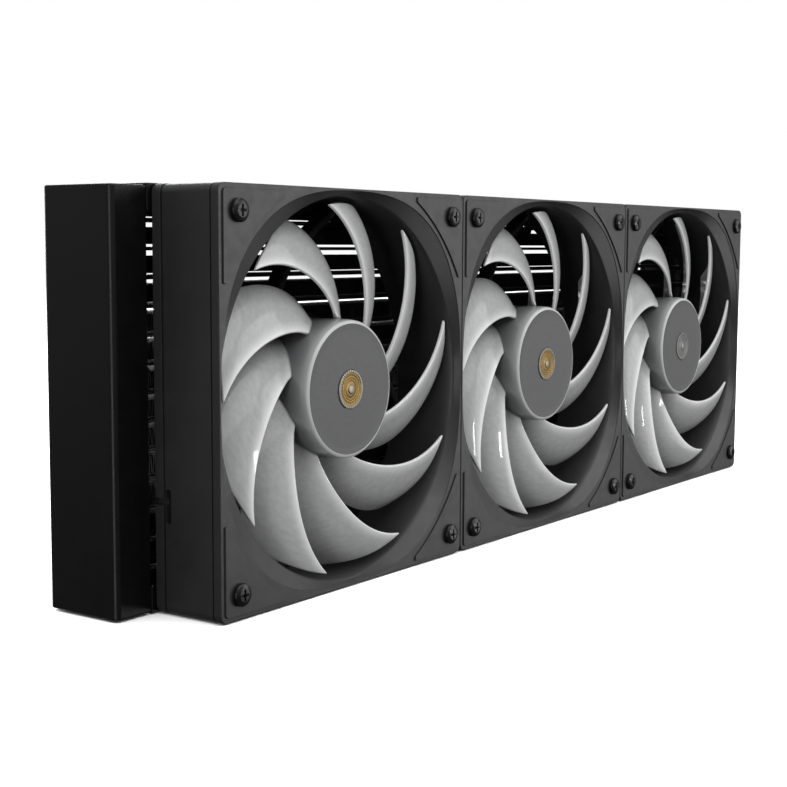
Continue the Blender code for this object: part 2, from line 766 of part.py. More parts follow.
def fin_spaces():
    """(low, high) of each space that a fin row fills: below, between and above the tubes."""
    heights = tube_heights()
    half = TUBE_THICKNESS / 2 + TOUCH_GAP
    edge = RAIL_SHEET + TOUCH_GAP
    spaces = [(heights[0] - TUBE_PITCH + half, heights[0] - half)]
    spaces += [(a + half, b - half) for a, b in zip(heights, heights[1:])]
    spaces.append((heights[-1] + half, heights[-1] + TUBE_PITCH - half))
    return [(max(low, edge), min(high, RADIATOR_HEIGHT - edge)) for low, high in spaces]


def screw_places():
    """X of the screws along a rail."""
    return [fan_middle(i) + sign * SCREW_OFFSET for i in range(FAN_COUNT) for sign in (-1, 1)]


def rail_tabs():
    """(left, right) of each taller tab: at the rail's two ends and across each joint between fans."""
    places = screw_places()
    lefts = [places[0] - RAIL_TAB_END_REACH] + [x - RAIL_TAB_REACH for x in places[1::2]]
    rights = [x + RAIL_TAB_REACH for x in places[0::2]] + [places[-1] + RAIL_TAB_END_REACH]
    return list(zip(lefts, rights))


def rail():
    """The bottom side channel: a web with a flange on both faces, and drilled tabs for the screws."""
    half_y = RADIATOR_DEPTH / 2
    web = box("rail_web", (-RAIL_END, -half_y, 0), (RAIL_END, half_y, RAIL_SHEET))
    flanges = bmesh.new()
    outline = [(-RAIL_END, 0), (RAIL_END, 0), (RAIL_END, RAIL_FLANGE)]
    for left, right in reversed(rail_tabs()):
        outline += [
            (right, RAIL_FLANGE),
            (right - RAIL_TAB_SLOPE, RAIL_TAB_HEIGHT),
            (left + RAIL_TAB_SLOPE, RAIL_TAB_HEIGHT),
            (left, RAIL_FLANGE),
        ]
    outline.append((-RAIL_END, RAIL_FLANGE))
    for y in (-half_y, half_y - RAIL_SHEET):
        skin(flanges, [[Vector((x, d, z)) for x, z in outline] for d in (y, y + RAIL_SHEET)])
    holes = bmesh.new()
    screw_height = FAN_AXIS_HEIGHT - SCREW_OFFSET
    for x in screw_places():
        loops = []
        for y in (-half_y - MM, half_y + MM):
            round_hole = circle(RAIL_HOLE_RADIUS, HOLE_ROUND, 0)
            loops.append([Vector((x + p.x, y, screw_height + p.y)) for p in round_hole])
        skin(holes, loops)
    steps = [
        ("UNION", mesh_from(flanges, "rail_flanges")),
        ("DIFFERENCE", mesh_from(holes, "rail_holes")),
    ]
    return combined("rail", web, steps)


def baffle():
    half_y = RADIATOR_DEPTH / 2 - TANK_WALL - TOUCH_GAP
    middle = RADIATOR_HEIGHT / 2
    return box(
        "tank_baffle",
        (TUBE_END, -half_y, middle - BAFFLE_THICKNESS / 2),
        (FAR_TANK_END - TANK_WALL - TOUCH_GAP, half_y, middle + BAFFLE_THICKNESS / 2),
    )


def hose_fitting():
    """A barbed fitting along +Z, with its flange on the tank and its shank in the tank's wall."""
    seat = TOUCH_GAP
    top = seat + FITTING_FLANGE_DEPTH
    profile = [
        (FITTING_BORE, -TANK_WALL - MM),
        (FITTING_SHANK, -TANK_WALL - MM),
        (FITTING_SHANK, seat),
        (FITTING_FLANGE, seat),
        (FITTING_FLANGE, top),
        (FITTING_SHANK, top),
    ]
    for i in range(FITTING_BARBS):
        start = top + MM + FITTING_BARB_LENGTH * i
        end = start + FITTING_BARB_LENGTH
        profile += [(FITTING_SHANK, start), (FITTING_BARB, start), (FITTING_SHANK, end)]
    profile.append((FITTING_BORE, profile[-1][1]))
    return turned("hose_fitting", profile, SMALL_ROUND)


def fill_plug():
    """A slotted plug along +Z."""
    seat = TOUCH_GAP
    top = seat + FILL_PLUG_HEAD
    back = -TANK_WALL - MM
    corners = [
        (0, back),
        (FILL_PLUG_SHANK, back),
        (FILL_PLUG_SHANK, seat),
        (FILL_PLUG_RADIUS, seat),
        (FILL_PLUG_RADIUS, top),
        (0, top),
    ]
    middle = Vector((0, 0, top))
    slot = box("plug_slot", middle - FILL_PLUG_SLOT / 2, middle + FILL_PLUG_SLOT / 2)
    body = turned("plug_body", corners, SMALL_ROUND)
    return combined("fill_plug", body, [("DIFFERENCE", slot)], smooth_angle=35)


# Assembly


def add_fans(materials):
    """Three fans. Each stands under an empty whose Z axis is the fan's axis and points to the front."""
    meshes = {
        "frame": (fan_frame(), "black_frame_plastic"),
        "impeller": (impeller(), "frosted_blade_plastic"),
        "rotor_ring": (rotor_ring(), "motor_steel"),
        "shaft": (shaft(), "motor_steel"),
        "bearing": (bearing(), "bearing_bronze"),
        "stator": (stator(), "copper_windings"),
        "circuit_board": (circuit_board(), "board_green"),
    }
    screw_mesh = screw()
    for i in range(FAN_COUNT):
        axis = link(bpy.data.objects.new(f"fan_{i + 1}_axis", None))
        axis.location = (fan_middle(i), FAN_FRONT, FAN_AXIS_HEIGHT)
        axis.rotation_euler = (math.pi / 2, 0, 0)
        for name, (mesh, material) in meshes.items():
            part(f"fan_{i + 1}_{name}", mesh, materials[material], axis)
        part(f"fan_{i + 1}_hub_badge", badge(), materials[BADGE_MATERIALS[i]], axis)
        for number, (x_sign, y_sign) in enumerate(CORNERS, 1):
            place = (x_sign * SCREW_OFFSET, y_sign * SCREW_OFFSET, 0)
            name = f"fan_{i + 1}_screw_{number}"
            part(name, screw_mesh, materials["black_screw_steel"], axis, place)


def add_radiator(materials):
    paint = materials["black_tank_paint"]
    core = materials["black_core_aluminium"]
    part("near_tank", near_tank(), paint)
    part("far_tank", far_tank(), paint)
    part("tank_baffle", baffle(), core)
    part("tube_bank", tube_bank(), core)
    for number, (low, high) in enumerate(fin_spaces(), 1):
        part(f"fin_row_{number:02d}", fin_row(low, high), core)
    rail_mesh = rail()
    part("bottom_rail", rail_mesh, paint)
    top_rail = part("top_rail", rail_mesh, paint, location=(0, 0, RADIATOR_HEIGHT))
    top_rail.rotation_euler = (math.pi, 0, 0)
    quarter_turn = (0, math.pi / 2, 0)
    for name, height in PORT_HEIGHTS.items():
        fitting = part(name, hose_fitting(), materials["fitting_nickel"])
        fitting.location = (FAR_TANK_END, 0, height)
        fitting.rotation_euler = quarter_turn
    plug = part("fill_plug", fill_plug(), materials["fitting_nickel"])
    plug.location = (FAR_TANK_END, 0, FILL_PLUG_HEIGHT)
    plug.rotation_euler = quarter_turn


def main():
    clear_scene()
    materials = make_materials()
    add_fans(materials)
    add_radiator(materials)


main()
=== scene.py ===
"""The looks of a liquid cooling radiator with three fans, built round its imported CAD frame."""

import json
import math
import random

import bmesh
import bpy
from mathutils import Matrix, Vector


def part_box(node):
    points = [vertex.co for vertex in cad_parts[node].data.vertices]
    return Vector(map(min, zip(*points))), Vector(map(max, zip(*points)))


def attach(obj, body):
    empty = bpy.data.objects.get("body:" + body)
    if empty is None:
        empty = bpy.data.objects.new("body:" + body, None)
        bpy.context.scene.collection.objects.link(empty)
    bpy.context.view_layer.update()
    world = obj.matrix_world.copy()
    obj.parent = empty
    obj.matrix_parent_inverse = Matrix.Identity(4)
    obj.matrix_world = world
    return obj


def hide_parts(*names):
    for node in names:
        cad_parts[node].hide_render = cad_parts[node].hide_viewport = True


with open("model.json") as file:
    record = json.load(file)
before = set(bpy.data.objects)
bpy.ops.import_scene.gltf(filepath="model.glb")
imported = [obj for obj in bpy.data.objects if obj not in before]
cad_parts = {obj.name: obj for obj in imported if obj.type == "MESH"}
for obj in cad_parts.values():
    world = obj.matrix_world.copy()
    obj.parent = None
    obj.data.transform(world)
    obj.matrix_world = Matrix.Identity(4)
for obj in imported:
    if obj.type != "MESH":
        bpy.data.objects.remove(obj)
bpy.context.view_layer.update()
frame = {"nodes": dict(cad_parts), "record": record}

MM = 0.001
FANS = (1, 2, 3)
GREY_BADGE_FAN = 3
CORNERS = ((-1, 1), (1, 1), (1, -1), (-1, -1))

# Camera, fitted to the object's straight edges
CAMERA_PLACE = Vector((-0.4673, -0.29875, 0.10348))
CAMERA_AZIMUTH = math.radians(-54.70)
CAMERA_ELEVATION = math.radians(5.871)
CAMERA_ROLL = math.radians(0.25)
CAMERA_LENS = 66.27

# Sky, as a light
SKY_BELOW = 0.06
SKY_ABOVE = 0.36
SKY_HORIZON = (-0.3, 0.1)

# Azimuth, elevation, distance, size and radiance of each light
SOFTBOXES = {
    "right_softbox": (46, 6, 1.3, (0.66, 1.1), 1.9),
    "right_window": (27, 0, 1.3, (0.08, 0.2), 26),
    "left_softbox": (-72, -4, 1.4, (0.26, 1.0), 3.8),
    "front_softbox": (-5, 42, 1.5, (1.6, 0.9), 1.6),
    "top_softbox": (20, 78, 1.4, (1.6, 1.2), 1.2),
    "rear_softbox": (160, 18, 1.6, (1.6, 1.0), 4.5),
}
FLOOR_LIGHT = (0, 90, 2.5, (7, 7), 2.6)

# Fan frame. Depths run from the front of the corner pads towards the radiator.
FRAME_LOW, FRAME_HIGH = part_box("fan_1_frame")
FRAME_SIDE = FRAME_HIGH.x - FRAME_LOW.x
FRAME_DEPTH = FRAME_HIGH.y - FRAME_LOW.y
FRAME_CORNER_RADIUS = 2.5 * MM
FRAME_CORNER_STEPS = 8
EDGE_FILLET = 0.35 * MM
SMALL_FILLET = 0.1 * MM
FLANGE_DEPTH = 3.2 * MM
GROOVE_WIDTH = 0.6 * MM
GROOVE_INSET = 0.8 * MM
PANEL_INSET = 0.15 * MM
PAD_RISE = 0.5 * MM
PAD_EDGE = 58.4 * MM
PAD_LEG_END = 32.8 * MM
PAD_ARC_RADIUS = 65.6 * MM
PAD_ARC_STEPS = 16
PAD_CORNER_RADIUS = 1.6 * MM
PAD_POINT_RADIUS = 0.7 * MM
PAD_CHAMFER = 0.1 * MM
INLET_HALF_SIDE = 59.1 * MM
INLET_EXPONENT = 2.6
INLET_FILLET = 0.25 * MM
INLET_ROUND = 192
FLARE_STEPS = 4
LIP_STEPS = 8
INLET_LIP_DEPTH = 2.5 * MM
INLET_LIP_RADIUS = 58.3 * MM
BORE_START_DEPTH = 7 * MM
BORE_RADIUS = 57.2 * MM
SCREW_OFFSET = 52.5 * MM
FRAME_HOLE_RADIUS = 2.3 * MM
CABLE_SLOT_SIZE = Vector((5, 9.6, 2)) * MM
CABLE_NOTCH_SIZE = Vector((3, 2.0, 8)) * MM
CABLE_SLOT_HEIGHT = -29.2 * MM
CABLE_SLOT_DEPTH = 20 * MM
SEAT_RADIUS = 22.5 * MM
SEAT_WALL = 1.4 * MM
SEAT_RIM_DEPTH = 19.8 * MM
SEAT_FLOOR_DEPTH = 23.2 * MM
BEARING_TUBE_RADIUS = 4.6 * MM
BEARING_TUBE_BORE = 3.4 * MM
BEARING_TUBE_FRONT = 7 * MM
STRUT_OUTER_ANGLE = 73
STRUT_SWEEP = 58
STRUT_CURL = 0.75
STRUT_THICKNESS = 2.4 * MM
STRUT_FRONT_DEPTH = 19.6 * MM
STRUT_STEPS = 14

# Impeller
BLADE_COUNT = 9
BLADE_PITCH = 360 / BLADE_COUNT
BLADE_TIP_ANGLE = 19.6
BLADE_TIP_RADIUS = 55.9 * MM
BLADE_ROOT_RADIUS = 20.2 * MM
LEADING_SWEEP = (57.2, -31.9, 31.0)
LEADING_DEPTH = (2.6, 3.6, -1.5, 3.6)
CHORD_ANGLE = (28.2, 4.5, -0.5)
TRAILING_DEPTH = (14.6, -7.0, 10.4)
CAMBER = (0.34, 0.25)
BLADE_THICKNESS = 1.3 * MM
BLADE_NOSE_THICKNESS = 1.0 * MM
BLADE_TAIL_THICKNESS = 0.6 * MM
BLADE_ROOT_FILLET = 2.4 * MM
BLADE_SPAN_STEPS = 26
BLADE_CHORD_STEPS = 18
BLADE_EDGE_STEPS = 5
BLADE_CHORD_MARGIN = 0.015
HUB_RADIUS = 21.1 * MM
HUB_SHOULDER = 1.3 * MM
HUB_WALL = 1.4 * MM
HUB_FRONT_DEPTH = 1.7 * MM
HUB_REAR_DEPTH = 18.8 * MM
HUB_FACE_WALL = 2.2 * MM
HUB_BOSS_RADIUS = 3.6 * MM
HUB_BOSS_LENGTH = 2.6 * MM
HUB_STEPS = 120
BADGE_RADIUS = 5.9 * MM
BADGE_RECESS = 0.6 * MM
BADGE_PROUD = 0.2 * MM
BADGE_RIM_WIDTH = 0.75 * MM
BADGE_DOME_RADIUS = 1.25 * MM
BADGE_RINGS = (4.2 * MM, 3.4 * MM, 2.6 * MM)
BADGE_NOTCHES = 36
# Width in mm of the band along each leading edge: painted highlight in the colour, smoother finish in the
# roughness
LEADING_BAND = 6.2
LEADING_EDGE_SLACK = 1.5
FAR_FROM_EDGE = 20
# Depth and falloff of the painted highlight at the hub's front shoulder, which fades to painted shade
# towards its back
HUB_SHADE_DEPTH = 9 * MM
HUB_SHADE_POWER = 2.8
SHAFT_RADIUS = 1.5 * MM

# Screws
SCREW_SEAT = 0.3 * MM
SCREW_RADIUS = 1.45 * MM
SCREW_HEAD_RADIUS = 3.3 * MM
SCREW_HEAD_HEIGHT = 1.4 * MM
SCREW_REACH = 3.8 * MM
THREAD_PITCH = 0.6 * MM
THREAD_TURNS = 11
RECESS_LENGTH = 3.4 * MM
RECESS_WIDTH = 0.8 * MM


# Mesh helpers


def add_object(name, mesh, matrix=None):
    obj = bpy.data.objects.new(name, mesh)
    bpy.context.scene.collection.objects.link(obj)
    if matrix is not None:
        obj.matrix_world = matrix
    return obj


def piece(name, mesh, body, replaced, matrix=None):
    """A finished piece: it rides on a body, has a material slot and stands for one CAD node."""
    obj = add_object(name, mesh, matrix)
    normals = obj.modifiers.new("weighted_normals", "WEIGHTED_NORMAL")
    normals.keep_sharp = True
    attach(obj, body)
    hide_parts(replaced)
    return obj


def mesh_from(bm, name, sharp_angle=30):
    bmesh.ops.recalc_face_normals(bm, faces=bm.faces)
    mesh = bpy.data.meshes.new(name)
    bm.to_mesh(mesh)
    bm.free()
    mesh.shade_smooth()
    mesh.set_sharp_from_angle(angle=math.radians(sharp_angle))
    return mesh


def bridge(bm, low, high):
    for i in range(len(low)):
        j = (i + 1) % len(low)
        bm.faces.new((low[i], low[j], high[j], high[i]))


def skin(bm, loops, ring=False):
    """Bridges loops of equal length. Both ends are capped, or joined to each other in a ring."""
    rows = [[bm.verts.new(point) for point in loop] for loop in loops]
    if not ring:
        bm.faces.new(reversed(rows[0]))
        bm.faces.new(rows[-1])
    for low, high in zip(rows, rows[1:]):
        bridge(bm, low, high)
    if ring:
        bridge(bm, rows[-1], rows[0])


def lofted(name, loops):
    bm = bmesh.new()
    skin(bm, loops)
    return mesh_from(bm, name)


def combined(name, base, steps, sharp_angle=30):
    """The mesh of base after Boolean steps, each (operation, mesh)."""
    target = add_object(name + "_base", base)
    tools = []
    for operation, mesh in steps:
        tool = add_object(f"{name}_tool_{len(tools)}", mesh)
        modifier = target.modifiers.new(operation.lower(), "BOOLEAN")
        modifier.operation = operation
        modifier.solver = "EXACT"
        modifier.object = tool
        tools.append(tool)
    graph = bpy.context.evaluated_depsgraph_get()
    mesh = bpy.data.meshes.new_from_object(target.evaluated_get(graph))
    mesh.name = name
    for obj in (target, *tools):
        bpy.data.objects.remove(obj, do_unlink=True)
    mesh.shade_smooth()
    mesh.set_sharp_from_angle(angle=math.radians(sharp_angle))
    return mesh


def quarter_turned(x, y, quarters):
    for _ in range(quarters):
        x, y = -y, x
    return x, y


def filleted(corners, steps=3, closed=True):
    """An outline of (x, y, radius) corners with each corner rounded."""
    points = []
    for i, (x, y, radius) in enumerate(corners):
        here = Vector((x, y))
        if not radius or not closed and i in (0, len(corners) - 1):
            points.append(here)
            continue
        back = Vector(corners[i - 1][:2]) - here
        ahead = Vector(corners[(i + 1) % len(corners)][:2]) - here
        half_angle = back.angle(ahead) / 2
        reach = min(radius / math.tan(half_angle), 0.48 * back.length, 0.48 * ahead.length)
        start = here + back.normalized() * reach
        end = here + ahead.normalized() * reach
        for k in range(steps + 1):
            share = k / steps
            bend = (1 - share) ** 2, 2 * share * (1 - share), share**2
            points.append(bend[0] * start + bend[1] * here + bend[2] * end)
    return points


def inset(points, distance):
    """A closed outline moved inwards."""
    area = sum(a.x * b.y - a.y * b.x for a, b in zip(points, points[1:] + points[:1]))
    inwards = math.copysign(distance, area)
    moved = []
    for i, point in enumerate(points):
        along = (points[(i + 1) % len(points)] - points[i - 1]).normalized()
        moved.append(point + Vector((-along.y, along.x)) * inwards)
    return moved


def at_height(points, z):
    return [Vector((p[0], p[1], z)) for p in points]


def polar(radius, angle, z=0.0):
    return Vector((radius * math.cos(angle), radius * math.sin(angle), z))


def circle(radius, steps, z=0.0):
    return [polar(radius, 2 * math.pi * i / steps, z) for i in range(steps)]


def rounded_square(half_side, radius, steps, z):
    points = []
    for quarter in range(4):
        for i in range(steps + 1):
            angle = math.pi / 2 * i / steps
            x = half_side - radius + radius * math.cos(angle)
            y = half_side - radius + radius * math.sin(angle)
            points.append(Vector((*quarter_turned(x, y, quarter), z)))
    return points


def turned(name, corners, steps, fillet_steps=3):
    """A solid turned round Z from (radius, height, fillet) corners: a disc from axis to axis, or a ring."""
    on_axis = corners[0][0] == 0
    profile = filleted(corners, fillet_steps, closed=not on_axis)
    bm = bmesh.new()
    if on_axis:
        rows = [[bm.verts.new(p) for p in circle(r, steps, z)] for r, z in profile[1:-1]]
        for low, high in zip(rows, rows[1:]):
            bridge(bm, low, high)
        for end, row in ((profile[0], rows[0]), (profile[-1], rows[-1])):
            pole = bm.verts.new((0, 0, end[1]))
            for i in range(steps):
                bm.faces.new((row[i], row[(i + 1) % steps], pole))
    else:
        skin(bm, [circle(r, steps, z) for r, z in profile], ring=True)
    return mesh_from(bm, name)


def box_between(low, high):
    bm = bmesh.new()
    low, high = Vector(low), Vector(high)
    bmesh.ops.create_cube(bm, size=1)
    bmesh.ops.scale(bm, vec=high - low, verts=bm.verts)
    bmesh.ops.translate(bm, vec=(low + high) / 2, verts=bm.verts)
    return bm


def box_mesh(name, low, high, bevel=0.0):
    """A box, with its edges bevelled."""
    bm = box_between(low, high)
    if bevel:
        bmesh.ops.bevel(bm, geom=bm.edges[:], offset=bevel, segments=3, profile=0.5, affect="EDGES")
    return mesh_from(bm, name)


def direction(azimuth, elevation):
    """The unit vector from the object. Azimuth 0 is straight in front, positive to the right."""
    level = math.cos(elevation)
    return Vector((math.sin(azimuth) * level, -math.cos(azimuth) * level, math.sin(elevation)))


def polynomial(coefficients, value):
    return sum(c * value**power for power, c in enumerate(coefficients))


# Fan frame


def frame_block():
    rear = FRAME_DEPTH
    rear_flange = rear - FLANGE_DEPTH
    inner = 4 * MM
    corners = [
        (PAD_RISE, inner, 0),
        (PAD_RISE, 0, EDGE_FILLET),
        (FLANGE_DEPTH, 0, SMALL_FILLET),
        (FLANGE_DEPTH, GROOVE_INSET, 0),
        (FLANGE_DEPTH + GROOVE_WIDTH, GROOVE_INSET, 0),
        (FLANGE_DEPTH + GROOVE_WIDTH, PANEL_INSET, SMALL_FILLET),
        (rear_flange - GROOVE_WIDTH, PANEL_INSET, SMALL_FILLET),
        (rear_flange - GROOVE_WIDTH, GROOVE_INSET, 0),
        (rear_flange, GROOVE_INSET, 0),
        (rear_flange, 0, SMALL_FILLET),
        (rear, 0, EDGE_FILLET),
        (rear, inner, 0),
    ]
    loops = []
    for depth, inwards in filleted(corners, 3, closed=False):
        radius = max(FRAME_CORNER_RADIUS - inwards, 0.3 * MM)
        loops.append(rounded_square(FRAME_SIDE / 2 - inwards, radius, FRAME_CORNER_STEPS, -depth))
    return lofted("frame_block", loops)


def corner_pads():
    """Four raised pads, each with two legs along the edges and an arc round the inlet."""
    start = math.asin(PAD_LEG_END / PAD_ARC_RADIUS)
    corners = [(PAD_EDGE, PAD_EDGE, PAD_CORNER_RADIUS), (PAD_LEG_END, PAD_EDGE, PAD_POINT_RADIUS)]
    for i in range(PAD_ARC_STEPS + 1):
        angle = math.pi / 2 - start - (math.pi / 2 - 2 * start) * i / PAD_ARC_STEPS
        rounding = PAD_POINT_RADIUS if i in (0, PAD_ARC_STEPS) else 0
        corners.append((PAD_ARC_RADIUS * math.cos(angle), PAD_ARC_RADIUS * math.sin(angle), rounding))
    corners.append((PAD_EDGE, PAD_LEG_END, PAD_POINT_RADIUS))
    outline = filleted(corners, 5)
    bm = bmesh.new()
    for x_sign, y_sign in CORNERS:
        wide = [Vector((p.x * x_sign, p.y * y_sign)) for p in outline]
        narrow = inset(wide, PAD_CHAMFER)
        skin(bm, [at_height(wide, -2 * PAD_RISE), at_height(wide, -PAD_CHAMFER), at_height(narrow, 0)])
    caps = [face for face in bm.faces if len(face.verts) > 4]
    bm.normal_update()
    bmesh.ops.triangulate(bm, faces=caps)
    return mesh_from(bm, "corner_pads")


def inlet_loop(blend, spread, depth):
    """A loop between the inlet's squircle, at blend 0, and the lip's circle, at blend 1."""
    points = []
    for i in range(INLET_ROUND):
        angle = 2 * math.pi * i / INLET_ROUND
        reach = abs(math.cos(angle)) ** INLET_EXPONENT + abs(math.sin(angle)) ** INLET_EXPONENT
        square = INLET_HALF_SIDE * reach ** (-1 / INLET_EXPONENT)
        radius = square * (1 - blend) + INLET_LIP_RADIUS * blend + spread
        points.append(polar(radius, angle, -depth))
    return points


def inlet_cutter():
    """The flare from the squircle to the lip, the rounded lip, and the straight bore."""
    start = PAD_RISE + INLET_FILLET
    loops = [
        inlet_loop(0, INLET_FILLET, -MM),
        inlet_loop(0, INLET_FILLET, PAD_RISE - 0.02 * MM),
        inlet_loop(0, INLET_FILLET * 0.35, PAD_RISE + INLET_FILLET * 0.35),
        inlet_loop(0, 0, start),
    ]
    for i in range(1, FLARE_STEPS + 1):
        share = i / FLARE_STEPS
        loops.append(inlet_loop(share, 0, start + (INLET_LIP_DEPTH - start) * share))
    for i in range(1, LIP_STEPS + 1):
        angle = math.pi / 2 * i / LIP_STEPS
        closing = (INLET_LIP_RADIUS - BORE_RADIUS) * math.sin(angle)
        depth = INLET_LIP_DEPTH + (BORE_START_DEPTH - INLET_LIP_DEPTH) * (1 - math.cos(angle))
        loops.append(inlet_loop(1, -closing, depth))
    chamfer = 0.4 * MM
    bore = BORE_RADIUS - INLET_LIP_RADIUS
    loops.append(inlet_loop(1, bore, FRAME_DEPTH - chamfer))
    loops.append(inlet_loop(1, bore + chamfer, FRAME_DEPTH))
    loops.append(inlet_loop(1, bore + chamfer, FRAME_DEPTH + MM))
    return lofted("inlet_cutter", loops)


def strut_angle(share):
    return math.radians(STRUT_OUTER_ANGLE + STRUT_SWEEP * share ** (1 / STRUT_CURL))


def struts():
    """Curved arms with rounded front edges, from the bore's wall to the motor seat."""
    outer = BORE_RADIUS + 0.4 * MM
    inner = SEAT_RADIUS - SEAT_WALL / 2
    half = STRUT_THICKNESS / 2
    section = filleted(
        [
            (-half, -STRUT_FRONT_DEPTH, 0.8 * MM),
            (half, -STRUT_FRONT_DEPTH, 0.8 * MM),
            (half, -FRAME_DEPTH, 0.3 * MM),
            (-half, -FRAME_DEPTH, 0.3 * MM),
        ],
        4,
    )
    line = []
    for i in range(STRUT_STEPS + 1):
        share = i / STRUT_STEPS
        line.append(polar(outer + (inner - outer) * share, strut_angle(share)).xy)
    bm = bmesh.new()
    for quarters in range(4):
        loops = []
        for i, point in enumerate(line):
            along = (line[min(i + 1, STRUT_STEPS)] - line[max(i - 1, 0)]).normalized()
            across = Vector((-along.y, along.x))
            loop = []
            for sideways, z in section:
                place = point + across * sideways
                loop.append(Vector((*quarter_turned(place.x, place.y, quarters), z)))
            loops.append(loop)
        skin(bm, loops)
    return mesh_from(bm, "struts")


def motor_seat():
    corners = [
        (SEAT_RADIUS, -SEAT_RIM_DEPTH, 0.4 * MM),
        (SEAT_RADIUS, -FRAME_DEPTH, 0.5 * MM),
        (BEARING_TUBE_BORE, -FRAME_DEPTH, 0.3 * MM),
        (BEARING_TUBE_BORE, -BEARING_TUBE_FRONT, 0.2 * MM),
        (BEARING_TUBE_RADIUS, -BEARING_TUBE_FRONT, 0.2 * MM),
        (BEARING_TUBE_RADIUS, -SEAT_FLOOR_DEPTH, 0.5 * MM),
        (SEAT_RADIUS - SEAT_WALL, -SEAT_FLOOR_DEPTH, 0.5 * MM),
        (SEAT_RADIUS - SEAT_WALL, -SEAT_RIM_DEPTH, 0.2 * MM),
    ]
    return turned("motor_seat", corners, 96)


def screw_hole_cutters():
    """Four through holes with a small countersink at the front and at the rear."""
    sink = 0.3 * MM
    bm = bmesh.new()
    for x_sign, y_sign in CORNERS:
        centre = Vector((x_sign * SCREW_OFFSET, y_sign * SCREW_OFFSET, 0))
        profile = [
            (FRAME_HOLE_RADIUS + 2 * sink, sink),
            (FRAME_HOLE_RADIUS, -sink),
            (FRAME_HOLE_RADIUS, sink - FRAME_DEPTH),
            (FRAME_HOLE_RADIUS + 2 * sink, -sink - FRAME_DEPTH),
        ]
        skin(bm, [[p + centre for p in circle(r, 32, z)] for r, z in profile])
    return mesh_from(bm, "screw_hole_cutters")


def cable_slot_cutters():
    """The slot for a fan's cable in the left side, and the notch from it to the rear."""
    slot_middle = Vector((-FRAME_SIDE / 2, CABLE_SLOT_HEIGHT, -CABLE_SLOT_DEPTH))
    notch_middle = slot_middle + Vector((0, 1.2 * MM, -CABLE_NOTCH_SIZE.z / 2))
    cutters = []
    for name, middle, size, bevel in (
        ("slot", slot_middle, CABLE_SLOT_SIZE, 0.4 * MM),
        ("notch", notch_middle, CABLE_NOTCH_SIZE, 0.3 * MM),
    ):
        cutters.append(box_mesh(name, middle - size / 2, middle + size / 2, bevel))
    return cutters


def fan_frame():
    slot, notch = cable_slot_cutters()
    steps = [
        ("DIFFERENCE", inlet_cutter()),
        ("UNION", corner_pads()),
        ("UNION", struts()),
        ("UNION", motor_seat()),
        ("DIFFERENCE", screw_hole_cutters()),
        ("DIFFERENCE", slot),
        ("DIFFERENCE", notch),
    ]
    return combined("fan_frame", frame_block(), steps, sharp_angle=32)


# Impeller


def blade_surface(span, chord):
    """A point of a blade's front surface. Span is 0 at the tip and 1 at the root."""
    radius = BLADE_TIP_RADIUS + (BLADE_ROOT_RADIUS - BLADE_TIP_RADIUS) * span
    leading = polynomial((0, *LEADING_SWEEP), span)
    angle = math.radians(BLADE_TIP_ANGLE - leading - polynomial(CHORD_ANGLE, span) * chord)
    front = polynomial(LEADING_DEPTH, span)
    rear = polynomial(TRAILING_DEPTH, span)
    camber = polynomial(CAMBER, span)
    depth = (front + (rear - front) * (camber * chord + (1 - camber) * chord**3)) * MM
    return polar(radius, angle, -depth)


def blade_frame(span, chord):
    """(point, normal towards the front, direction along the chord) of the front surface."""
    step = 0.01
    point = blade_surface(span, chord)
    along = blade_surface(span, min(chord + step, 1)) - blade_surface(span, max(chord - step, 0))
    across = blade_surface(min(span + step, 1), chord) - blade_surface(max(span - step, 0), chord)
    normal = along.cross(across).normalized()
    if normal.z < 0:
        normal = -normal
    return point, normal, along.normalized()


def blade_thickness(chord):
    """The thickness along the chord: fullest a third of the way, thin at the tail."""
    nose = BLADE_NOSE_THICKNESS * (1 - chord) + BLADE_TAIL_THICKNESS * chord
    fullness = math.sin(math.pi * chord**0.7)
    return nose + (BLADE_THICKNESS - BLADE_NOSE_THICKNESS) * fullness


def blade_section(span, fatness):
    """A closed loop round the blade at one span: front surface, tail, back surface and nose."""
    chords = [(1 - math.cos(math.pi * j / BLADE_CHORD_STEPS)) / 2 for j in range(BLADE_CHORD_STEPS + 1)]
    front, back = [], []
    for chord in chords:
        chord = BLADE_CHORD_MARGIN + (1 - 2 * BLADE_CHORD_MARGIN) * chord
        point, normal, _ = blade_frame(span, chord)
        half = blade_thickness(chord) / 2
        middle = point - normal * half
        front.append(middle + normal * half * fatness)
        back.append(middle - normal * half * fatness)
    edges = []
    for chord, outwards in ((1, 1), (0, -1)):
        _, normal, along = blade_frame(span, chord)
        ends = (front[-1], back[-1]) if chord else (back[0], front[0])
        middle = (ends[0] + ends[1]) / 2
        radius = (ends[0] - ends[1]).length / 2
        rounding = []
        for k in range(1, BLADE_EDGE_STEPS):
            angle = math.pi * k / BLADE_EDGE_STEPS
            towards = (ends[0] - middle).normalized() * math.cos(angle)
            rounding.append(middle + radius * (towards + along * outwards * math.sin(angle)))
        edges.append(rounding)
    return front + edges[0] + back[::-1] + edges[1]


def blade_stations():
    """(span, fatness) of each section: thinned at the tip's edge and fattened at the root."""
    length = BLADE_TIP_RADIUS - BLADE_ROOT_RADIUS
    stations = [(0, 0.35), (0.12 * MM / length, 0.75), (0.4 * MM / length, 1)]
    for i in range(1, BLADE_SPAN_STEPS + 1):
        span = i / BLADE_SPAN_STEPS
        above_hub = (1 - span) * length + BLADE_ROOT_RADIUS - HUB_RADIUS
        nearness = max(0.0, 1 - max(above_hub, 0) / BLADE_ROOT_FILLET)
        stations.append((span, 1 + 0.9 * nearness**2))
    return stations


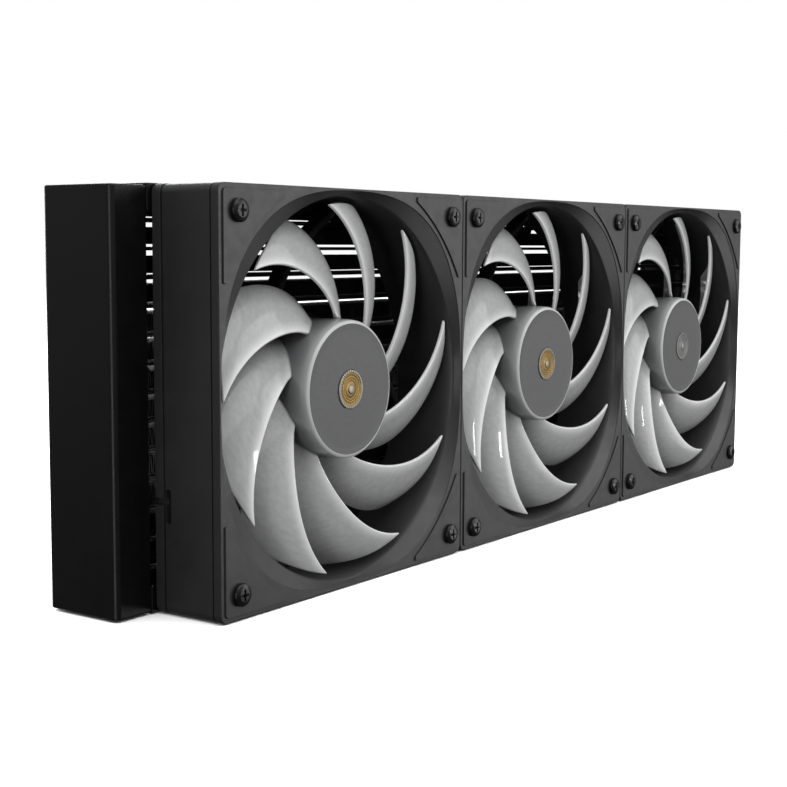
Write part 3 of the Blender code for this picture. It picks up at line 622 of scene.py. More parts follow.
def blades():
    bm = bmesh.new()
    sections = [blade_section(span, fatness) for span, fatness in blade_stations()]
    for i in range(BLADE_COUNT):
        turn = Matrix.Rotation(math.radians(BLADE_PITCH * i), 3, "Z")
        skin(bm, [[turn @ point for point in section] for section in sections])
    return mesh_from(bm, "blades", 50)


def hub():
    """The hub cup, with a recess for the badge in its face and a boss for the shaft behind it."""
    inner = HUB_RADIUS - HUB_WALL
    front = -HUB_FRONT_DEPTH
    face_back = front - HUB_FACE_WALL
    boss_back = face_back - HUB_BOSS_LENGTH
    socket = SHAFT_RADIUS + 0.3 * MM
    recess = BADGE_RADIUS + 0.12 * MM
    disc_edge = HUB_RADIUS - HUB_SHOULDER
    groove = 0.22 * MM
    corners = [
        (0, front - BADGE_RECESS, 0),
        (recess, front - BADGE_RECESS, 0.05 * MM),
        (recess, front - groove, 0.12 * MM),
        (disc_edge - 1.9 * MM, front - groove, 0.4 * MM),
        (disc_edge, front - 0.1 * MM, 0.05 * MM),
        (disc_edge + 0.1 * MM, front, 0.05 * MM),
        (HUB_RADIUS - 0.3 * MM, front - 0.4 * MM, 0.9 * MM),
        (HUB_RADIUS, front - 2.6 * MM, 1.2 * MM),
        (HUB_RADIUS, -HUB_REAR_DEPTH, 0.25 * MM),
        (inner, -HUB_REAR_DEPTH, 0.25 * MM),
        (inner, face_back, 0.6 * MM),
        (HUB_BOSS_RADIUS, face_back, 0.6 * MM),
        (HUB_BOSS_RADIUS, boss_back, 0.2 * MM),
        (socket, boss_back, 0.1 * MM),
        (socket, face_back, 0),
        (0, face_back, 0),
    ]
    return turned("hub", corners, HUB_STEPS, fillet_steps=5)


def impeller():
    """Hub and blades as one moulding, with the leading edges marked for their smoother finish and their
    painted highlight.
    """
    mesh = combined("impeller", hub(), [("UNION", blades())], sharp_angle=50)
    mark_leading_edges(mesh)
    disc_radius = HUB_RADIUS - HUB_SHOULDER + 0.02 * MM
    mesh.materials.clear()
    mesh.materials.append(MATERIALS["frosted_blade_plastic"])
    mesh.materials.append(MATERIALS["hub_disc"])
    for face in mesh.polygons:
        centre = face.center
        on_face = centre.z > -HUB_FRONT_DEPTH - BADGE_RECESS and centre.xy.length < disc_radius
        face.material_index = 1 if on_face else 0
    return mesh


def mark_leading_edges(mesh):
    """Stores each point's distance behind its blade's leading edge, in millimetres."""
    marks = mesh.attributes.new("behind_leading_edge", "FLOAT", "POINT")
    length = BLADE_TIP_RADIUS - BLADE_ROOT_RADIUS
    for vertex, mark in zip(mesh.vertices, marks.data):
        radius = vertex.co.xy.length
        span = (BLADE_TIP_RADIUS - radius) / length
        angle = math.degrees(math.atan2(vertex.co.y, vertex.co.x))
        leading = BLADE_TIP_ANGLE - polynomial((0, *LEADING_SWEEP), span)
        behind = (leading - angle) % BLADE_PITCH
        if behind > BLADE_PITCH - LEADING_EDGE_SLACK:
            behind = 0
        on_blade = radius > HUB_RADIUS + 0.05 * MM
        mark.value = math.radians(behind) * radius / MM if on_blade else FAR_FROM_EDGE


# Radiator


RADIATOR_LOW = Vector(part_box("bottom_rail")[0])
RADIATOR_HIGH = Vector(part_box("top_rail")[1])
RADIATOR_MIDDLE = (RADIATOR_LOW.z + RADIATOR_HIGH.z) / 2
TANK_LOW, TANK_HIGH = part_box("near_tank")
FAR_TANK_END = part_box("far_tank")[1].x
TANK_WALL = 1.5 * MM
TANK_EDGE_RADIUS = 1.8 * MM
TANK_RIM_RADIUS = 0.5 * MM
TUBE_COUNT = 14
TUBE_PITCH = 8.06 * MM
TOP_TUBE_HEIGHT = 110.1 * MM
TUBE_THICKNESS = 1 * MM
TUBE_WALL = 0.25 * MM
TUBE_DEPTH = 18 * MM
TUBE_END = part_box("tube_bank")[1].x
HEADER_THICKNESS = 1.2 * MM
HEADER_START = 182.3 * MM
FIN_PITCH = 1.45 * MM
FIN_SHEET = 0.16 * MM
FIN_ABOVE_TUBE = 0.68 * MM
FIN_BELOW_TUBE = 1.45 * MM
RAIL_SHEET = 1.2 * MM
RAIL_FLANGE = 8.2 * MM
RAIL_TAB_HEIGHT = 13.5 * MM
RAIL_TAB_REACH = 6.1 * MM
RAIL_TAB_END_REACH = 4 * MM
RAIL_TAB_SLOPE = 1.2 * MM
RAIL_HOLE_RADIUS = 1.75 * MM
PORT_RADIUS = 5.2 * MM
PLUG_HOLE_RADIUS = 2.7 * MM


def tank_shell(name, mouth, end):
    """A tank that is square at its mouth, with a rounded far end."""
    low_x, high_x = sorted((mouth, end))
    bm = box_between((low_x, TANK_LOW.y, TANK_LOW.z), (high_x, TANK_HIGH.y, TANK_HIGH.z))

    def edges_where(test):
        return [edge for edge in bm.edges if all(test(v.co) for v in edge.verts)]

    def at_end(point):
        return abs(point.x - end) < 0.1 * MM

    upright = [e for e in edges_where(at_end) if abs(e.verts[0].co.z - e.verts[1].co.z) > 0.01]
    bmesh.ops.bevel(bm, geom=upright, offset=TANK_EDGE_RADIUS, segments=8, profile=0.5, affect="EDGES")
    rims = []
    for edge in bm.edges:
        level = abs(edge.verts[0].co.z - edge.verts[1].co.z) < 0.01 * MM
        mouth_edge = all(abs(v.co.x - mouth) < 0.01 * MM for v in edge.verts)
        if level and not mouth_edge:
            rims.append(edge)
    bmesh.ops.bevel(bm, geom=rims, offset=TANK_RIM_RADIUS, segments=4, profile=0.5, affect="EDGES")
    return mesh_from(bm, name)


def tank(name, mouth, end, holes=()):
    """A tank hollowed from its mouth, with round holes (height, radius) through its end wall."""
    side = math.copysign(1, end)
    low_x, high_x = sorted((mouth - side * MM, end - side * TANK_WALL))
    hollow = box_mesh(
        name + "_hollow",
        (low_x, TANK_LOW.y + TANK_WALL, TANK_LOW.z + TANK_WALL),
        (high_x, TANK_HIGH.y - TANK_WALL, TANK_HIGH.z - TANK_WALL),
    )
    steps = [("DIFFERENCE", hollow)]
    for height, radius in holes:
        loops = []
        for x in (end - side * (TANK_WALL + MM), end + side * MM):
            loops.append([Vector((x, p.x, height + p.y)) for p in circle(radius, 48)])
        steps.append(("DIFFERENCE", lofted("port", loops)))
    return combined(name, tank_shell(name + "_shell", mouth, end), steps)


def tube_heights():
    return [TOP_TUBE_HEIGHT - TUBE_PITCH * i for i in reversed(range(TUBE_COUNT))]


def flat_tube(shrink, end, height):
    half = TUBE_THICKNESS / 2 - shrink
    reach = TUBE_DEPTH / 2 - shrink - half
    outline = []
    for side in (1, -1):
        for i in range(9):
            angle = math.radians(-90 + 180 * i / 8)
            outline.append((side * (reach + half * math.cos(angle)), height + side * half * math.sin(angle)))
    return [[Vector((x, y, z)) for y, z in outline] for x in (-end, end)]


def tube_bank():
    low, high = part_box("tube_bank")
    plates = bmesh.new()
    for sign in (-1, 1):
        ends = sorted((sign * HEADER_START, sign * (HEADER_START + HEADER_THICKNESS)))
        outline = filleted(
            [(low.y, low.z, MM), (high.y, low.z, MM), (high.y, high.z, MM), (low.y, high.z, MM)], 4
        )
        skin(plates, [[Vector((x, p.x, p.y)) for p in outline] for x in ends])
    tubes = bmesh.new()
    bores = bmesh.new()
    for height in tube_heights():
        skin(tubes, flat_tube(0, TUBE_END, height))
        skin(bores, flat_tube(TUBE_WALL, TUBE_END + MM, height))
    steps = [("UNION", mesh_from(tubes, "tubes")), ("DIFFERENCE", mesh_from(bores, "tube_bores"))]
    return combined("tube_bank", mesh_from(plates, "header_plates"), steps)


def fin_row(number, low, high):
    """A closely folded strip of thin sheet, climbing and falling between two heights."""
    rng = random.Random(number)
    half_length, half_depth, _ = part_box(f"fin_row_{number:02d}")[1]
    waves = round(2 * half_length / FIN_PITCH)
    pitch = (2 * half_length - FIN_SHEET) / waves
    crest = 0.3 * pitch
    line = []
    for i in range(waves):
        start = -half_length + FIN_SHEET / 2 + pitch * i
        jitter = rng.uniform(-0.04, 0.04) * pitch if 0 < i < waves - 1 else 0
        rise = rng.uniform(-0.05, 0) * MM
        line += [
            (start + jitter, low + FIN_SHEET / 2),
            (start + crest + jitter, low + FIN_SHEET / 2),
            (start + pitch / 2 + jitter, high - FIN_SHEET / 2 + rise),
            (start + pitch / 2 + crest + jitter, high - FIN_SHEET / 2 + rise),
        ]
    points = [Vector(p) for p in line]
    sides = ([], [])
    for i, point in enumerate(points):
        along = (points[min(i + 1, len(points) - 1)] - points[max(i - 1, 0)]).normalized()
        across = Vector((-along.y, along.x)) * FIN_SHEET / 2
        sides[0].append(point + across)
        sides[1].append(point - across)
    bm = bmesh.new()
    rows = []
    for side in sides:
        for y in (-half_depth, half_depth):
            rows.append([bm.verts.new((p.x, y, p.y)) for p in side])
    upper_near, upper_far, lower_near, lower_far = rows
    around = (upper_near, upper_far, lower_far, lower_near, upper_near)
    for a, b in zip(around, around[1:]):
        for i in range(len(a) - 1):
            bm.faces.new((a[i], a[i + 1], b[i + 1], b[i]))
    for i in (0, -1):
        bm.faces.new((upper_near[i], upper_far[i], lower_far[i], lower_near[i]))
    return mesh_from(bm, f"fin_row_{number:02d}")


def fin_spaces():
    """(low, high) of each fin row, which stops short of the tubes by the same two slits."""
    heights = tube_heights()
    edge = RAIL_SHEET + 0.3 * MM
    half = TUBE_THICKNESS / 2
    lows = [RADIATOR_LOW.z + edge] + [h + half + FIN_ABOVE_TUBE for h in heights]
    highs = [h - half - FIN_BELOW_TUBE for h in heights] + [RADIATOR_HIGH.z - edge]
    return list(zip(lows, highs))


def screw_places():
    places = []
    for number in FANS:
        low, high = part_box(f"fan_{number}_frame")
        middle = (low.x + high.x) / 2
        places += [middle - SCREW_OFFSET, middle + SCREW_OFFSET]
    return places


def rail_tabs():
    """(left, right) of each taller tab: at the rail's two ends and across each joint between fans."""
    places = screw_places()
    lefts = [places[0] - RAIL_TAB_END_REACH] + [x - RAIL_TAB_REACH for x in places[1::2]]
    rights = [x + RAIL_TAB_REACH for x in places[0::2]] + [places[-1] + RAIL_TAB_END_REACH]
    return list(zip(lefts, rights))


def rail():
    """The bottom channel, built round its own web; the top one is the same turned over."""
    low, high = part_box("bottom_rail")
    end = high.x
    web = box_mesh("web", (-end, low.y, low.z), (end, high.y, low.z + RAIL_SHEET), 0.3 * MM)
    corners = [(-end, low.z, 0.2 * MM), (end, low.z, 0.2 * MM), (end, RAIL_FLANGE, MM)]
    for left, right in reversed(rail_tabs()):
        corners += [
            (right, RAIL_FLANGE, MM),
            (right - RAIL_TAB_SLOPE, RAIL_TAB_HEIGHT, 1.5 * MM),
            (left + RAIL_TAB_SLOPE, RAIL_TAB_HEIGHT, 1.5 * MM),
            (left, RAIL_FLANGE, MM),
        ]
    corners.append((-end, RAIL_FLANGE, MM))
    outline = filleted(corners, 3)
    flanges = bmesh.new()
    for outer, sign in ((low.y, 1), (high.y, -1)):
        depths = [outer + sign * 0.15 * MM, outer + sign * RAIL_SHEET]
        loops = [[Vector((p.x, outer, p.y)) for p in inset(outline, 0.15 * MM)]]
        loops += [[Vector((p.x, y, p.y)) for p in outline] for y in depths]
        skin(flanges, loops)
    holes = bmesh.new()
    hole_height = RADIATOR_MIDDLE - SCREW_OFFSET
    for x in screw_places():
        loops = []
        for y in (low.y - MM, high.y + MM):
            loops.append([Vector((x + p.x, y, hole_height + p.y)) for p in circle(RAIL_HOLE_RADIUS, 28)])
        skin(holes, loops)
    steps = [("UNION", mesh_from(flanges, "rail_flanges")), ("DIFFERENCE", mesh_from(holes, "rail_holes"))]
    return combined("rail", web, steps)


# Screws, badge and fittings


def screw():
    """A pan-head screw with a cross recess and a thread, its origin on the fan's front plane."""
    top = SCREW_SEAT + SCREW_HEAD_HEIGHT
    tip = -FRAME_DEPTH - SCREW_SEAT - SCREW_REACH
    root = SCREW_RADIUS * 0.82
    shank = SCREW_RADIUS * 0.9
    corners = [(0, tip, 0), (SCREW_RADIUS * 0.7, tip, 0.1 * MM)]
    for i in range(THREAD_TURNS):
        z = tip + 0.4 * MM + THREAD_PITCH * i
        corners += [(root, z, 0), (SCREW_RADIUS, z + THREAD_PITCH * 0.45, 0.04 * MM)]
    last = tip + 0.4 * MM + THREAD_PITCH * THREAD_TURNS
    corners += [
        (root, last, 0),
        (shank, last + 0.3 * MM, 0),
        (shank, SCREW_SEAT, 0.1 * MM),
        (SCREW_HEAD_RADIUS, SCREW_SEAT, 0.12 * MM),
        (SCREW_HEAD_RADIUS, top - 0.45 * MM, 1.1 * MM),
        (1.9 * MM, top, 0.5 * MM),
        (0, top, 0),
    ]
    steps = []
    for length, width in ((RECESS_LENGTH, RECESS_WIDTH), (RECESS_WIDTH, RECESS_LENGTH)):
        half = Vector((length, width)) / 2
        loops = []
        for z, share in ((top - 1.1 * MM, 0.45), (top - 0.7 * MM, 0.8), (top + 0.3 * MM, 1.06)):
            x = half.x * (share if length > width else 1)
            y = half.y * (share if width > length else 1)
            loops.append([Vector((x, y, z)), Vector((-x, y, z)), Vector((-x, -y, z)), Vector((x, -y, z))])
        steps.append(("DIFFERENCE", lofted("recess", loops)))
    return combined("screw", turned("screw_body", corners, 40, 4), steps)


def badge():
    """A plain disc with a knurled rim, turned rings and a small domed centre."""
    front = -HUB_FRONT_DEPTH + BADGE_PROUD
    back = -HUB_FRONT_DEPTH - BADGE_RECESS + 0.3 * MM
    field = front - 0.15 * MM
    rim = BADGE_RADIUS - BADGE_RIM_WIDTH
    corners = [(0, back, 0), (BADGE_RADIUS, back, 0.05 * MM), (BADGE_RADIUS, front, 0.15 * MM)]
    corners += [(rim, front, 0.08 * MM), (rim - 0.1 * MM, field, 0)]
    for radius in BADGE_RINGS:
        corners += [
            (radius + 0.1 * MM, field, 0),
            (radius, field - 0.05 * MM, 0),
            (radius - 0.1 * MM, field, 0),
        ]
    corners += [
        (1.4 * MM, field, 0.05 * MM),
        (1.2 * MM, front + 0.1 * MM, 0.3 * MM),
        (0, front + 0.15 * MM, 0),
    ]
    cutters = bmesh.new()
    for i in range(BADGE_NOTCHES):
        turn = Matrix.Rotation(2 * math.pi * i / BADGE_NOTCHES, 3, "Z")
        half = 0.16 * MM
        loops = []
        for radius in (rim + 0.12 * MM, BADGE_RADIUS + 0.2 * MM):
            square = ((-half, -0.14 * MM), (half, -0.14 * MM), (half, 0.3 * MM), (-half, 0.3 * MM))
            loops.append([turn @ Vector((radius, y, front + z)) for y, z in square])
        skin(cutters, loops)
    notch_mesh = mesh_from(cutters, "badge_notches")
    return combined("hub_badge", turned("badge_body", corners, 96, 3), [("DIFFERENCE", notch_mesh)])


def badge_in(field_material):
    """A badge whose rim and centre are silvery and whose field has its own material."""
    mesh = badge()
    mesh.materials.clear()
    mesh.materials.append(MATERIALS[field_material])
    mesh.materials.append(MATERIALS["badge_silver"])
    for face in mesh.polygons:
        radius = face.center.xy.length
        is_field = BADGE_DOME_RADIUS <= radius <= BADGE_RADIUS - BADGE_RIM_WIDTH
        face.material_index = 0 if is_field else 1
    return mesh


def hose_fitting():
    """A barbed fitting along +Z with a knurled flange."""
    seat = 0.3 * MM
    top = seat + 3 * MM
    bore = 3.4 * MM
    shank = 4.9 * MM
    barb_radius = 5.6 * MM
    flange = 8 * MM
    corners = [
        (bore, -2.5 * MM, 0.2 * MM),
        (shank, -2.5 * MM, 0.3 * MM),
        (shank, seat, 0),
        (flange, seat, 0.3 * MM),
        (flange, top, 0.5 * MM),
        (barb_radius, top, 0.3 * MM),
        (shank, top + 0.4 * MM, 0.2 * MM),
    ]
    barb = 4 * MM
    for i in range(2):
        start = top + MM + barb * i
        corners += [
            (shank, start, 0.1 * MM),
            (barb_radius, start, 0.12 * MM),
            (shank, start + barb - 0.1 * MM, 0.1 * MM),
        ]
    corners += [(shank - 0.3 * MM, start + barb, 0.2 * MM), (bore, start + barb, 0.4 * MM)]
    body = turned("hose_fitting_body", corners, 96)
    cutters = bmesh.new()
    flutes = 24
    for i in range(flutes):
        centre = polar(flange + 0.25 * MM, 2 * math.pi * i / flutes)
        ends = (seat + 0.6 * MM, top - 0.6 * MM)
        skin(cutters, [[p + centre for p in circle(0.55 * MM, 10, z)] for z in ends])
    return combined("hose_fitting", body, [("DIFFERENCE", mesh_from(cutters, "flutes"))])


def fill_plug():
    seat = 0.3 * MM
    top = seat + 1.6 * MM
    corners = [
        (0, -2.5 * MM, 0),
        (2.4 * MM, -2.5 * MM, 0.3 * MM),
        (2.4 * MM, seat, 0),
        (4 * MM, seat, 0.15 * MM),
        (4 * MM, top, 0.4 * MM),
        (0, top, 0),
    ]
    half_slot = Vector((4.5, 0.5, 0.8)) * MM
    middle = Vector((0, 0, top))
    slot = box_mesh("slot", middle - half_slot, middle + half_slot)
    return combined("fill_plug", turned("plug_body", corners, 64, 4), [("DIFFERENCE", slot)])


# Materials


RANGE_INPUTS = ("From Min", "From Max", "To Min", "To Max")


class Graph:
    """A short way to write a material's nodes."""

    def __init__(self, name):
        self.material = bpy.data.materials.new(name)
        self.material.use_nodes = True
        self.nodes = self.material.node_tree.nodes
        self.links = self.material.node_tree.links
        self.shader = self.nodes["Principled BSDF"]

    def add(self, kind, **settings):
        """A node of this kind; a setting that names an input sets or links that input."""
        node = self.nodes.new(kind)
        for name, value in settings.items():
            if hasattr(node, name):
                setattr(node, name, value)
            else:
                self.feed(node.inputs[name.replace("_", " ")], value)
        return node

    def feed(self, socket, value):
        if isinstance(value, bpy.types.NodeSocket):
            self.links.new(value, socket)
        else:
            socket.default_value = value

    def coordinates(self):
        return self.add("ShaderNodeTexCoord").outputs["Object"]

    def about_axis(self):
        """(X, Y and Z of the place, the place with Z at 0, the distance from the Z axis)."""
        place = self.add("ShaderNodeSeparateXYZ", Vector=self.coordinates()).outputs
        flat = self.vector(X=place["X"], Y=place["Y"])
        radius = self.add("ShaderNodeVectorMath", operation="LENGTH")
        self.feed(radius.inputs[0], flat)
        return place, flat, radius.outputs["Value"]

    def vector(self, **parts):
        return self.add("ShaderNodeCombineXYZ", **parts).outputs["Vector"]

    def maths(self, operation, first, second):
        node = self.add("ShaderNodeMath", operation=operation)
        self.feed(node.inputs[0], first)
        self.feed(node.inputs[1], second)
        return node.outputs["Value"]

    def noise(self, scale, detail=3.0, roughness=0.5, vector=None):
        node = self.add("ShaderNodeTexNoise", Scale=scale, Detail=detail, Roughness=roughness)
        self.feed(node.inputs["Vector"], vector or self.coordinates())
        return node.outputs["Fac"]

    def remap(self, value, low, high, from_low=0.3, from_high=0.7):
        node = self.add("ShaderNodeMapRange", clamp=True)
        self.feed(node.inputs["Value"], value)
        for name, number in zip(RANGE_INPUTS, (from_low, from_high, low, high)):
            self.feed(node.inputs[name], number)
        return node.outputs["Result"]

    def mix(self, factor, first, second):
        node = self.add("ShaderNodeMix", data_type="RGBA")
        self.feed(node.inputs["Factor"], factor)
        for socket, colour in ((node.inputs[6], first), (node.inputs[7], second)):
            self.feed(socket, colour if isinstance(colour, bpy.types.NodeSocket) else (*colour, 1))
        return node.outputs[2]

    def bump(self, height, strength, distance, normal=None):
        node = self.add("ShaderNodeBump", Strength=strength, Distance=distance, Height=height)
        if normal is not None:
            self.feed(node.inputs["Normal"], normal)
        return node.outputs["Normal"]

    def finish(self, colour, roughness, normal):
        self.set("Base Color", colour)
        self.set("Roughness", roughness)
        self.set("Normal", normal)
        return self.material

    def set(self, name, value):
        if isinstance(value, tuple) and self.shader.inputs[name].type == "RGBA":
            value = (*value, 1)
        self.feed(self.shader.inputs[name], value)


def moulded_plastic(name, dark, light, roughness, grain_scale, grain_depth):
    """Black moulded plastic: spark-eroded grain, faint flow marks and uneven gloss."""
    graph = Graph(name)
    flow = graph.noise(60, 4)
    grain = graph.noise(grain_scale, 2)
    colour = graph.mix(graph.remap(flow, 0, 1), dark, light)
    gloss = graph.remap(graph.noise(260, 5), roughness - 0.05, roughness + 0.06)
    return graph.finish(colour, gloss, graph.bump(grain, 0.35, grain_depth))


def satin_paint(name, dark, light, roughness, specular):
    """Sprayed black paint over metal: a fine orange peel and slight clouding."""
    graph = Graph(name)
    cloud = graph.noise(35, 3)
    peel = graph.noise(900, 2, 0.4)
    speck = graph.noise(5200, 1)
    colour = graph.mix(graph.remap(cloud, 0, 1), dark, light)
    gloss = graph.remap(graph.noise(140, 4), roughness - 0.05, roughness + 0.05)
    graph.set("Specular IOR Level", specular)
    normal = graph.bump(peel, 0.25, 0.00006)
    return graph.finish(colour, gloss, graph.bump(speck, 0.2, 0.00002, normal))


def frosted_plastic():
    """Milky moulded plastic: fine frost with streaks round the hub, smooth leading edges with a painted
    highlight, and the hub's side with a painted highlight at the front fading to painted shade at the back.
    """
    graph = Graph("frosted_blade_plastic")
    place, flat, radius = graph.about_axis()
    outwards = graph.add("ShaderNodeVectorMath", operation="NORMALIZE")
    graph.feed(outwards.inputs[0], flat)
    around = graph.add("ShaderNodeVectorMath", operation="SCALE", Scale=0.022)
    graph.feed(around.inputs[0], outwards.outputs["Vector"])
    ringed = graph.add("ShaderNodeVectorMath", operation="ADD")
    graph.feed(ringed.inputs[0], around.outputs["Vector"])
    graph.feed(ringed.inputs[1], graph.vector(Z=radius))
    streaks = graph.noise(760, 4, 0.55, ringed.outputs["Vector"])
    frost = graph.noise(3400, 3, 0.6)
    edge = graph.add("ShaderNodeAttribute", attribute_name="behind_leading_edge").outputs["Fac"]
    # Leading-edge band: a pale colour painted as a highlight, and a lower roughness for the smoother finish
    edge_highlight_and_smooth_mask = graph.maths("POWER", graph.remap(edge, 1, 0, 0.6, LEADING_BAND), 2.0)
    body = graph.mix(graph.remap(streaks, 0, 1), (0.37, 0.373, 0.376), (0.465, 0.468, 0.47))
    body = graph.mix(graph.remap(frost, 0, 0.3), body, (0.58, 0.585, 0.588))
    blade = graph.mix(edge_highlight_and_smooth_mask, body, (0.83, 0.835, 0.84))
    on_hub = graph.remap(radius, 1, 0, HUB_RADIUS + 0.05 * MM, HUB_RADIUS + 0.9 * MM)
    # Hub side: painted highlight near the front shoulder, fading to painted shade towards the back
    forward = graph.remap(place["Z"], 0, 1, -HUB_FRONT_DEPTH - HUB_SHADE_DEPTH, -HUB_FRONT_DEPTH)
    rim = graph.maths("POWER", forward, HUB_SHADE_POWER)
    hub_side_painted_light = graph.mix(rim, (0.16, 0.163, 0.166), (0.66, 0.665, 0.67))
    smoother = graph.remap(edge_highlight_and_smooth_mask, 0, 0.12, 0, 1)
    gloss = graph.maths("SUBTRACT", graph.remap(streaks, 0.38, 0.46), smoother)
    graph.set("Subsurface Weight", 0.15)
    graph.set("Subsurface Scale", 0.002)
    graph.set("Subsurface Radius", (1.0, 1.0, 1.0))
    graph.set("Coat Weight", 0.6)
    graph.set("Coat Roughness", 0.06)
    normal = graph.bump(streaks, 0.08, 0.00006, graph.bump(frost, 0.2, 0.00003))
    return graph.finish(graph.mix(on_hub, blade, hub_side_painted_light), gloss, normal)


def hub_disc():
    """The hub's flat face: grey satin with a very fine turned grain."""
    graph = Graph("hub_disc")
    radius = graph.about_axis()[2]
    rings = graph.noise(3000, 2, 0.5, graph.vector(X=radius))
    speck = graph.noise(2400, 2)
    colour = graph.mix(graph.remap(speck, 0, 1), (0.076, 0.0772, 0.079), (0.1, 0.1012, 0.103))
    return graph.finish(colour, graph.remap(rings, 0.4, 0.5), graph.bump(rings, 0.08, 0.00003))


def turned_metal(name, dark, light, roughness, metallic):
    """Turned metal with rings round its axis and small stains."""
    graph = Graph(name)
    place, _, radius = graph.about_axis()
    rings = graph.noise(2600, 3, 0.6, graph.vector(X=radius, Z=place["Z"]))
    stains = graph.noise(300, 4)
    graph.set("Metallic", metallic)
    colour = graph.mix(graph.remap(stains, 0, 1), dark, light)
    gloss = graph.remap(rings, roughness - 0.07, roughness + 0.1)
    return graph.finish(colour, gloss, graph.bump(rings, 0.15, 0.00003))


# Dark colour, light colour, roughness, and how metallic it is
TURNED_METALS = {
    "brass_badge": ((0.23, 0.155, 0.056), (0.29, 0.2, 0.078), 0.42, 1),
    "grey_badge": ((0.15, 0.15, 0.155), (0.2, 0.2, 0.205), 0.42, 0.5),
    "badge_silver": ((0.26, 0.25, 0.22), (0.34, 0.33, 0.29), 0.4, 0.8),
    "motor_steel": ((0.36, 0.37, 0.38), (0.48, 0.49, 0.5), 0.34, 1),
    "bearing_bronze": ((0.42, 0.26, 0.12), (0.55, 0.36, 0.18), 0.38, 1),
    "copper_windings": ((0.5, 0.2, 0.08), (0.68, 0.3, 0.14), 0.4, 0.8),
    "black_screw_steel": ((0.006, 0.006, 0.0063), (0.014, 0.014, 0.0145), 0.2, 0.3),
    "fitting_nickel": ((0.4, 0.4, 0.42), (0.55, 0.55, 0.57), 0.24, 1),
}
# Dark colour, light colour, roughness, and the scale and depth of the grain
PLASTICS = {
    "black_frame_plastic": ((0.024, 0.0243, 0.0248), (0.032, 0.0323, 0.033), 0.42, 3600, 0.00006),
    "board_green": ((0.02, 0.1, 0.04), (0.03, 0.16, 0.07), 0.4, 1800, 0.00003),
}
# Dark colour, light colour, roughness and specular level
PAINTS = {
    "black_tank_paint": ((0.002, 0.002, 0.0021), (0.0032, 0.0032, 0.0033), 0.34, 0.36),
    "black_core_aluminium": ((0.006, 0.006, 0.0062), (0.012, 0.012, 0.0124), 0.45, 0.5),
}


def make_materials():
    made = {"frosted_blade_plastic": frosted_plastic(), "hub_disc": hub_disc()}
    for maker, table in ((turned_metal, TURNED_METALS), (moulded_plastic, PLASTICS), (satin_paint, PAINTS)):
        for name, values in table.items():
            made[name] = maker(name, *values)
    return made


# Assembly


def fan_matrix(number):
    """The fan's own frame: origin on its axis at the pads' front, +Z to the front."""
    low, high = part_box(f"fan_{number}_frame")
    place = Vector(((low.x + high.x) / 2, low.y, (low.z + high.z) / 2))
    return Matrix.Translation(place) @ Matrix.Rotation(math.pi / 2, 4, "X")


def fixed_piece(node, suffix, mesh, material, matrix=None):
    """A piece of one material that doesn't move."""
    mesh.materials.clear()
    mesh.materials.append(MATERIALS[material])
    piece(f"{node}_{suffix}", mesh, "housing", node, matrix)


def add_fans():
    frame_mesh = fan_frame()
    impeller_mesh = impeller()
    badges = {slot: badge_in(slot) for slot in ("brass_badge", "grey_badge")}
    screw_mesh = screw()
    for number in FANS:
        fan = f"fan_{number}"
        rotor = f"rotor_{number}"
        place = fan_matrix(number)
        badge_slot = "grey_badge" if number == GREY_BADGE_FAN else "brass_badge"
        fixed_piece(f"{fan}_frame", "moulding", frame_mesh, "black_frame_plastic", place)
        piece(f"{fan}_impeller_moulding", impeller_mesh, rotor, f"{fan}_impeller", place)
        piece(f"{fan}_badge_disc", badges[badge_slot], rotor, f"{fan}_hub_badge", place)
        for corner, (x_sign, y_sign) in enumerate(CORNERS, 1):
            offset = Matrix.Translation((x_sign * SCREW_OFFSET, y_sign * SCREW_OFFSET, 0))
            screw_place = place @ offset
            fixed_piece(f"{fan}_screw_{corner}", "threaded", screw_mesh, "black_screw_steel", screw_place)


def add_radiator():
    paint = "black_tank_paint"
    core = "black_core_aluminium"
    near_mesh = tank("near_tank_sheet", TANK_HIGH.x, TANK_LOW.x)
    fixed_piece("near_tank", "painted", near_mesh, paint)
    fitting_mesh = hose_fitting()
    on_tank = {"inlet_fitting": fitting_mesh, "outlet_fitting": fitting_mesh, "fill_plug": fill_plug()}
    heights = {name: sum(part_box(name), Vector()).z / 2 for name in on_tank}
    radii = (PORT_RADIUS, PORT_RADIUS, PLUG_HOLE_RADIUS)
    far_mesh = tank("far_tank_sheet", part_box("far_tank")[0].x, FAR_TANK_END, zip(heights.values(), radii))
    fixed_piece("far_tank", "painted", far_mesh, paint)
    fixed_piece("tube_bank", "brazed", tube_bank(), core)
    for number, (low, high) in enumerate(fin_spaces(), 1):
        fixed_piece(f"fin_row_{number:02d}", "folded", fin_row(number, low, high), core)
    rail_mesh = rail()
    fixed_piece("bottom_rail", "pressed", rail_mesh, paint)
    turned_over = Matrix.Translation((0, 0, 2 * RADIATOR_MIDDLE)) @ Matrix.Rotation(math.pi, 4, "X")
    fixed_piece("top_rail", "pressed", rail_mesh, paint, turned_over)
    for name, mesh in on_tank.items():
        place = Matrix.Translation((FAR_TANK_END, 0, heights[name])) @ Matrix.Rotation(math.pi / 2, 4, "Y")
        fixed_piece(name, "turned", mesh, "fitting_nickel", place)


def finish_inner_nodes():
    """CAD nodes that keep their shape get their finished materials."""
    for subpart in frame["record"]["subparts"]:
        node = frame["nodes"][subpart["node"]]
        if not node.hide_render:
            node.data.materials.clear()
            node.data.materials.append(MATERIALS[subpart["material_slot"]])


# Stage, lights and camera


